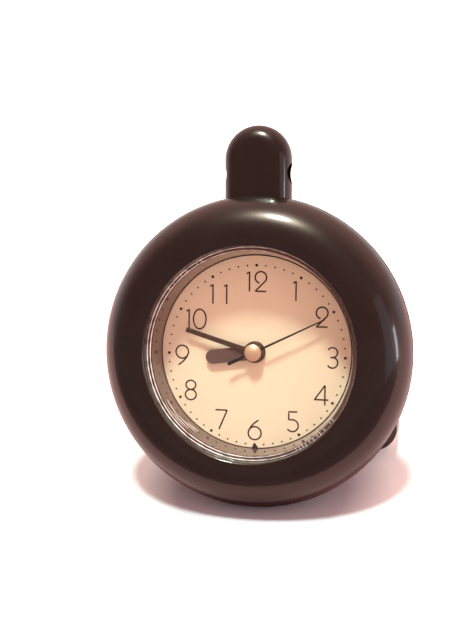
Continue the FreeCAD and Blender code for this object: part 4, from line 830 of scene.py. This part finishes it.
class DESKCLOCK_OT_stage(bpy.types.Operator):
    """Pale table, plain room, a wide lamp overhead, two soft lamps at the right, and the camera"""

    bl_idname = "deskclock.stage"
    bl_label = "Stage"

    def execute(self, context):
        scene = context.scene
        self.table(scene)
        self.room(scene)
        place, width, strength, tint = OVERHEAD
        lamp("overhead_light", "SUN", place, (0, 0, 0), strength, tint).angle = math.radians(width)
        for name, (place, width, height, power, tint) in SIDE_LAMPS.items():
            light = lamp(name, "AREA", place, SIDE_TARGET, power, tint)
            light.shape = "RECTANGLE"
            light.size, light.size_y = width, height
        self.camera(scene)
        scene.view_settings.view_transform = "Standard"
        return {"FINISHED"}

    def table(self, scene):
        """One large flat square at the height of the clock's feet."""
        reach = TABLE_REACH
        mesh = bpy.data.meshes.new("table_top")
        corners = [(-reach, -reach, 0), (reach, -reach, 0), (reach, reach, 0), (-reach, reach, 0)]
        mesh.from_pydata(corners, [], [(0, 1, 2, 3)])
        mesh.materials.append(self.table_finish())
        top = bpy.data.objects.new("table_top", mesh)
        scene.collection.objects.link(top)

    def table_finish(self):
        """White table with a painted shade round the clock's foot, on top of the real shadow, and warm where
        it throws light back.
        Polished surfaces mirror it, with a painted shade near the foot, only as far as its edge, and past it
        a dim brown emission, a painted reflection of a dark room."""
        material, nodes, links = new_finish("pale_table")
        shader = nodes["Principled BSDF"]
        shader.inputs["Roughness"].default_value = 0.9
        ray = nodes.new("ShaderNodeLightPath").outputs
        place = nodes.new("ShaderNodeTexCoord").outputs["Object"]
        mottled = shaded(nodes, links, scattered(nodes, links, 3.0), (1.0, 0.97, 0.97), (0.98, 0.95, 0.95))
        # Painted shade: the camera sees the table darkened to lilac grey round the clock's foot, on top of
        # the real shadow. clear is 0 under it and 1 clear of it
        clear = self.away(nodes, links, place, PAINTED_SEEN_SHADE)
        seen = shaded(nodes, links, clear, (0.6, 0.59, 0.66), mottled)
        # Painted shade in reflections: polished surfaces mirror the table near black round the clock's foot,
        # and dimmer and rosier further out
        mirrored = shaded(nodes, links, self.away(nodes, links, place, PAINTED_MIRRORED_SHADE),
                          (0.16, 0.08, 0.1), (0.55, 0.365, 0.385))
        bounced = shaded(nodes, links, ray["Is Glossy Ray"], (0.72, 0.46, 0.41), mirrored)
        feed(links, shader.inputs["Base Color"], shaded(nodes, links, ray["Is Camera Ray"], bounced, seen))
        # The camera-only glow keeps the table white, and is held back under the painted shade round the
        # clock's foot
        glow = shaded(nodes, links, clear, (0.0, 0.0, 0.0), (0.16, 0.16, 0.16))
        feed(links, shader.inputs["Emission Color"], glow)
        feed(links, shader.inputs["Emission Strength"], ray["Is Camera Ray"])
        axes = nodes.new("ShaderNodeSeparateXYZ")
        links.new(place, axes.inputs["Vector"])
        # Painted reflection: past the table's edge, mirrored rays see a dim brown emission in place of the
        # table, standing in for a dark room
        beyond = reckoned(nodes, links, "LESS_THAN", axes.outputs["Y"], TABLE_EDGE)
        past_edge = reckoned(nodes, links, "MULTIPLY", beyond, ray["Is Glossy Ray"])
        dark = nodes.new("ShaderNodeEmission")
        dark.inputs["Color"].default_value = (0.2, 0.13, 0.13, 1)
        either_shader(nodes, links, past_edge, shader.outputs["BSDF"], dark.outputs["Emission"])
        return material

    def away(self, nodes, links, place, shade):
        """How far a point of the table lies out of a painted shade: 0 within its first reach and 1 past its
        last.
        """
        distance = nodes.new("ShaderNodeVectorMath")
        distance.operation = "DISTANCE"
        distance.inputs[1].default_value = PAINTED_SHADE_CENTRE
        links.new(place, distance.inputs[0])
        reach = nodes.new("ShaderNodeMapRange")
        reach.inputs["From Min"].default_value = shade[0] * MM
        reach.inputs["From Max"].default_value = shade[1] * MM
        links.new(distance.outputs["Value"], reach.inputs["Value"])
        return reach.outputs["Result"]

    def room(self, scene):
        """A plain room, white low down and rosy overhead. It lights the clock more from the right.

        Polished surfaces mirror it dark in front of the clock, and the camera sees it white.
        """
        world = bpy.data.worlds.new("plain_room")
        scene.world = world
        world.use_nodes = True
        nodes, links = world.node_tree.nodes, world.node_tree.links
        axes = nodes.new("ShaderNodeSeparateXYZ")
        links.new(nodes.new("ShaderNodeTexCoord").outputs["Generated"], axes.inputs["Vector"])
        x, y, z = axes.outputs
        ray = nodes.new("ShaderNodeLightPath").outputs
        walls = self.ramp(nodes, links, z, (0.08, (1, 1, 1)), (0.35, (0.92, 0.54, 0.48)))
        # 0 straight behind the clock and 1 straight in front of it
        forward = reckoned(nodes, links, "MULTIPLY_ADD", y, -0.5, 0.5)
        front = self.ramp(nodes, links, forward, (0.3, (0.85, 0.85, 0.85)), (0.6, (0.24, 0.19, 0.19)))
        mirrored = shaded(nodes, links, ray["Is Glossy Ray"], walls, front, "MULTIPLY")
        sideways = reckoned(nodes, links, "MULTIPLY_ADD", x, 0.55, 1.2)
        lit = shaded(nodes, links, ray["Is Diffuse Ray"], mirrored, sideways, "MULTIPLY")
        seen = shaded(nodes, links, ray["Is Camera Ray"], lit, (1, 1, 1))
        links.new(seen, nodes["Background"].inputs["Color"])

    def ramp(self, nodes, links, value, *stops):
        """A colour that follows a value between two stops, each a place and a colour."""
        made = nodes.new("ShaderNodeValToRGB")
        for element, (place, tint) in zip(made.color_ramp.elements, stops):
            element.position = place
            element.color = (*tint, 1)
        links.new(value, made.inputs["Fac"])
        return made.outputs["Color"]

    def camera(self, scene):
        """The camera at the photograph's viewpoint."""
        lens = bpy.data.cameras.new("camera")
        lens.lens = CAMERA_LENS
        lens.clip_start, lens.clip_end = 0.01, 50
        eye = bpy.data.objects.new("camera", lens)
        eye.location = CAMERA_PLACE
        aim = turned_to(CAMERA_PLACE, CAMERA_TARGET).to_matrix()
        eye.rotation_euler = (aim @ Matrix.Rotation(CAMERA_ROLL, 3, "Z")).to_euler()
        scene.collection.objects.link(eye)
        scene.camera = eye


OPERATORS = (
    DESKCLOCK_OT_ring,
    DESKCLOCK_OT_window,
    DESKCLOCK_OT_window_rim,
    DESKCLOCK_OT_dial,
    DESKCLOCK_OT_dial_print,
    DESKCLOCK_OT_hands,
    DESKCLOCK_OT_cap,
    DESKCLOCK_OT_carried_finishes,
    DESKCLOCK_OT_stage,
)


class DESKCLOCK_PT_panel(bpy.types.Panel):
    """Lists the clock's pieces, sizes and colours"""

    bl_idname = "DESKCLOCK_PT_panel"
    bl_label = "Desk Clock"
    bl_space_type = "VIEW_3D"
    bl_region_type = "UI"
    bl_category = "Desk Clock"

    def draw(self, context):
        layout = self.layout
        for operator in OPERATORS:
            layout.operator(operator.bl_idname)
        for group in (context.scene.desk_clock_sizes, context.scene.desk_clock_colours):
            box = layout.box()
            for name in group.__annotations__:
                box.prop(group, name)


CLASSES = (ClockSizes, ClockColours, *OPERATORS, DESKCLOCK_PT_panel)


def register():
    for item in CLASSES:
        bpy.utils.register_class(item)
    bpy.types.Scene.desk_clock_sizes = bpy.props.PointerProperty(type=ClockSizes)
    bpy.types.Scene.desk_clock_colours = bpy.props.PointerProperty(type=ClockColours)


def unregister():
    del bpy.types.Scene.desk_clock_colours
    del bpy.types.Scene.desk_clock_sizes
    for item in reversed(CLASSES):
        bpy.utils.unregister_class(item)


def main():
    """Registers the classes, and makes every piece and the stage."""
    register()
    for operator in OPERATORS:
        group, name = operator.bl_idname.split(".")
        getattr(getattr(bpy.ops, group), name)()


if __name__ == "__main__":
    main()
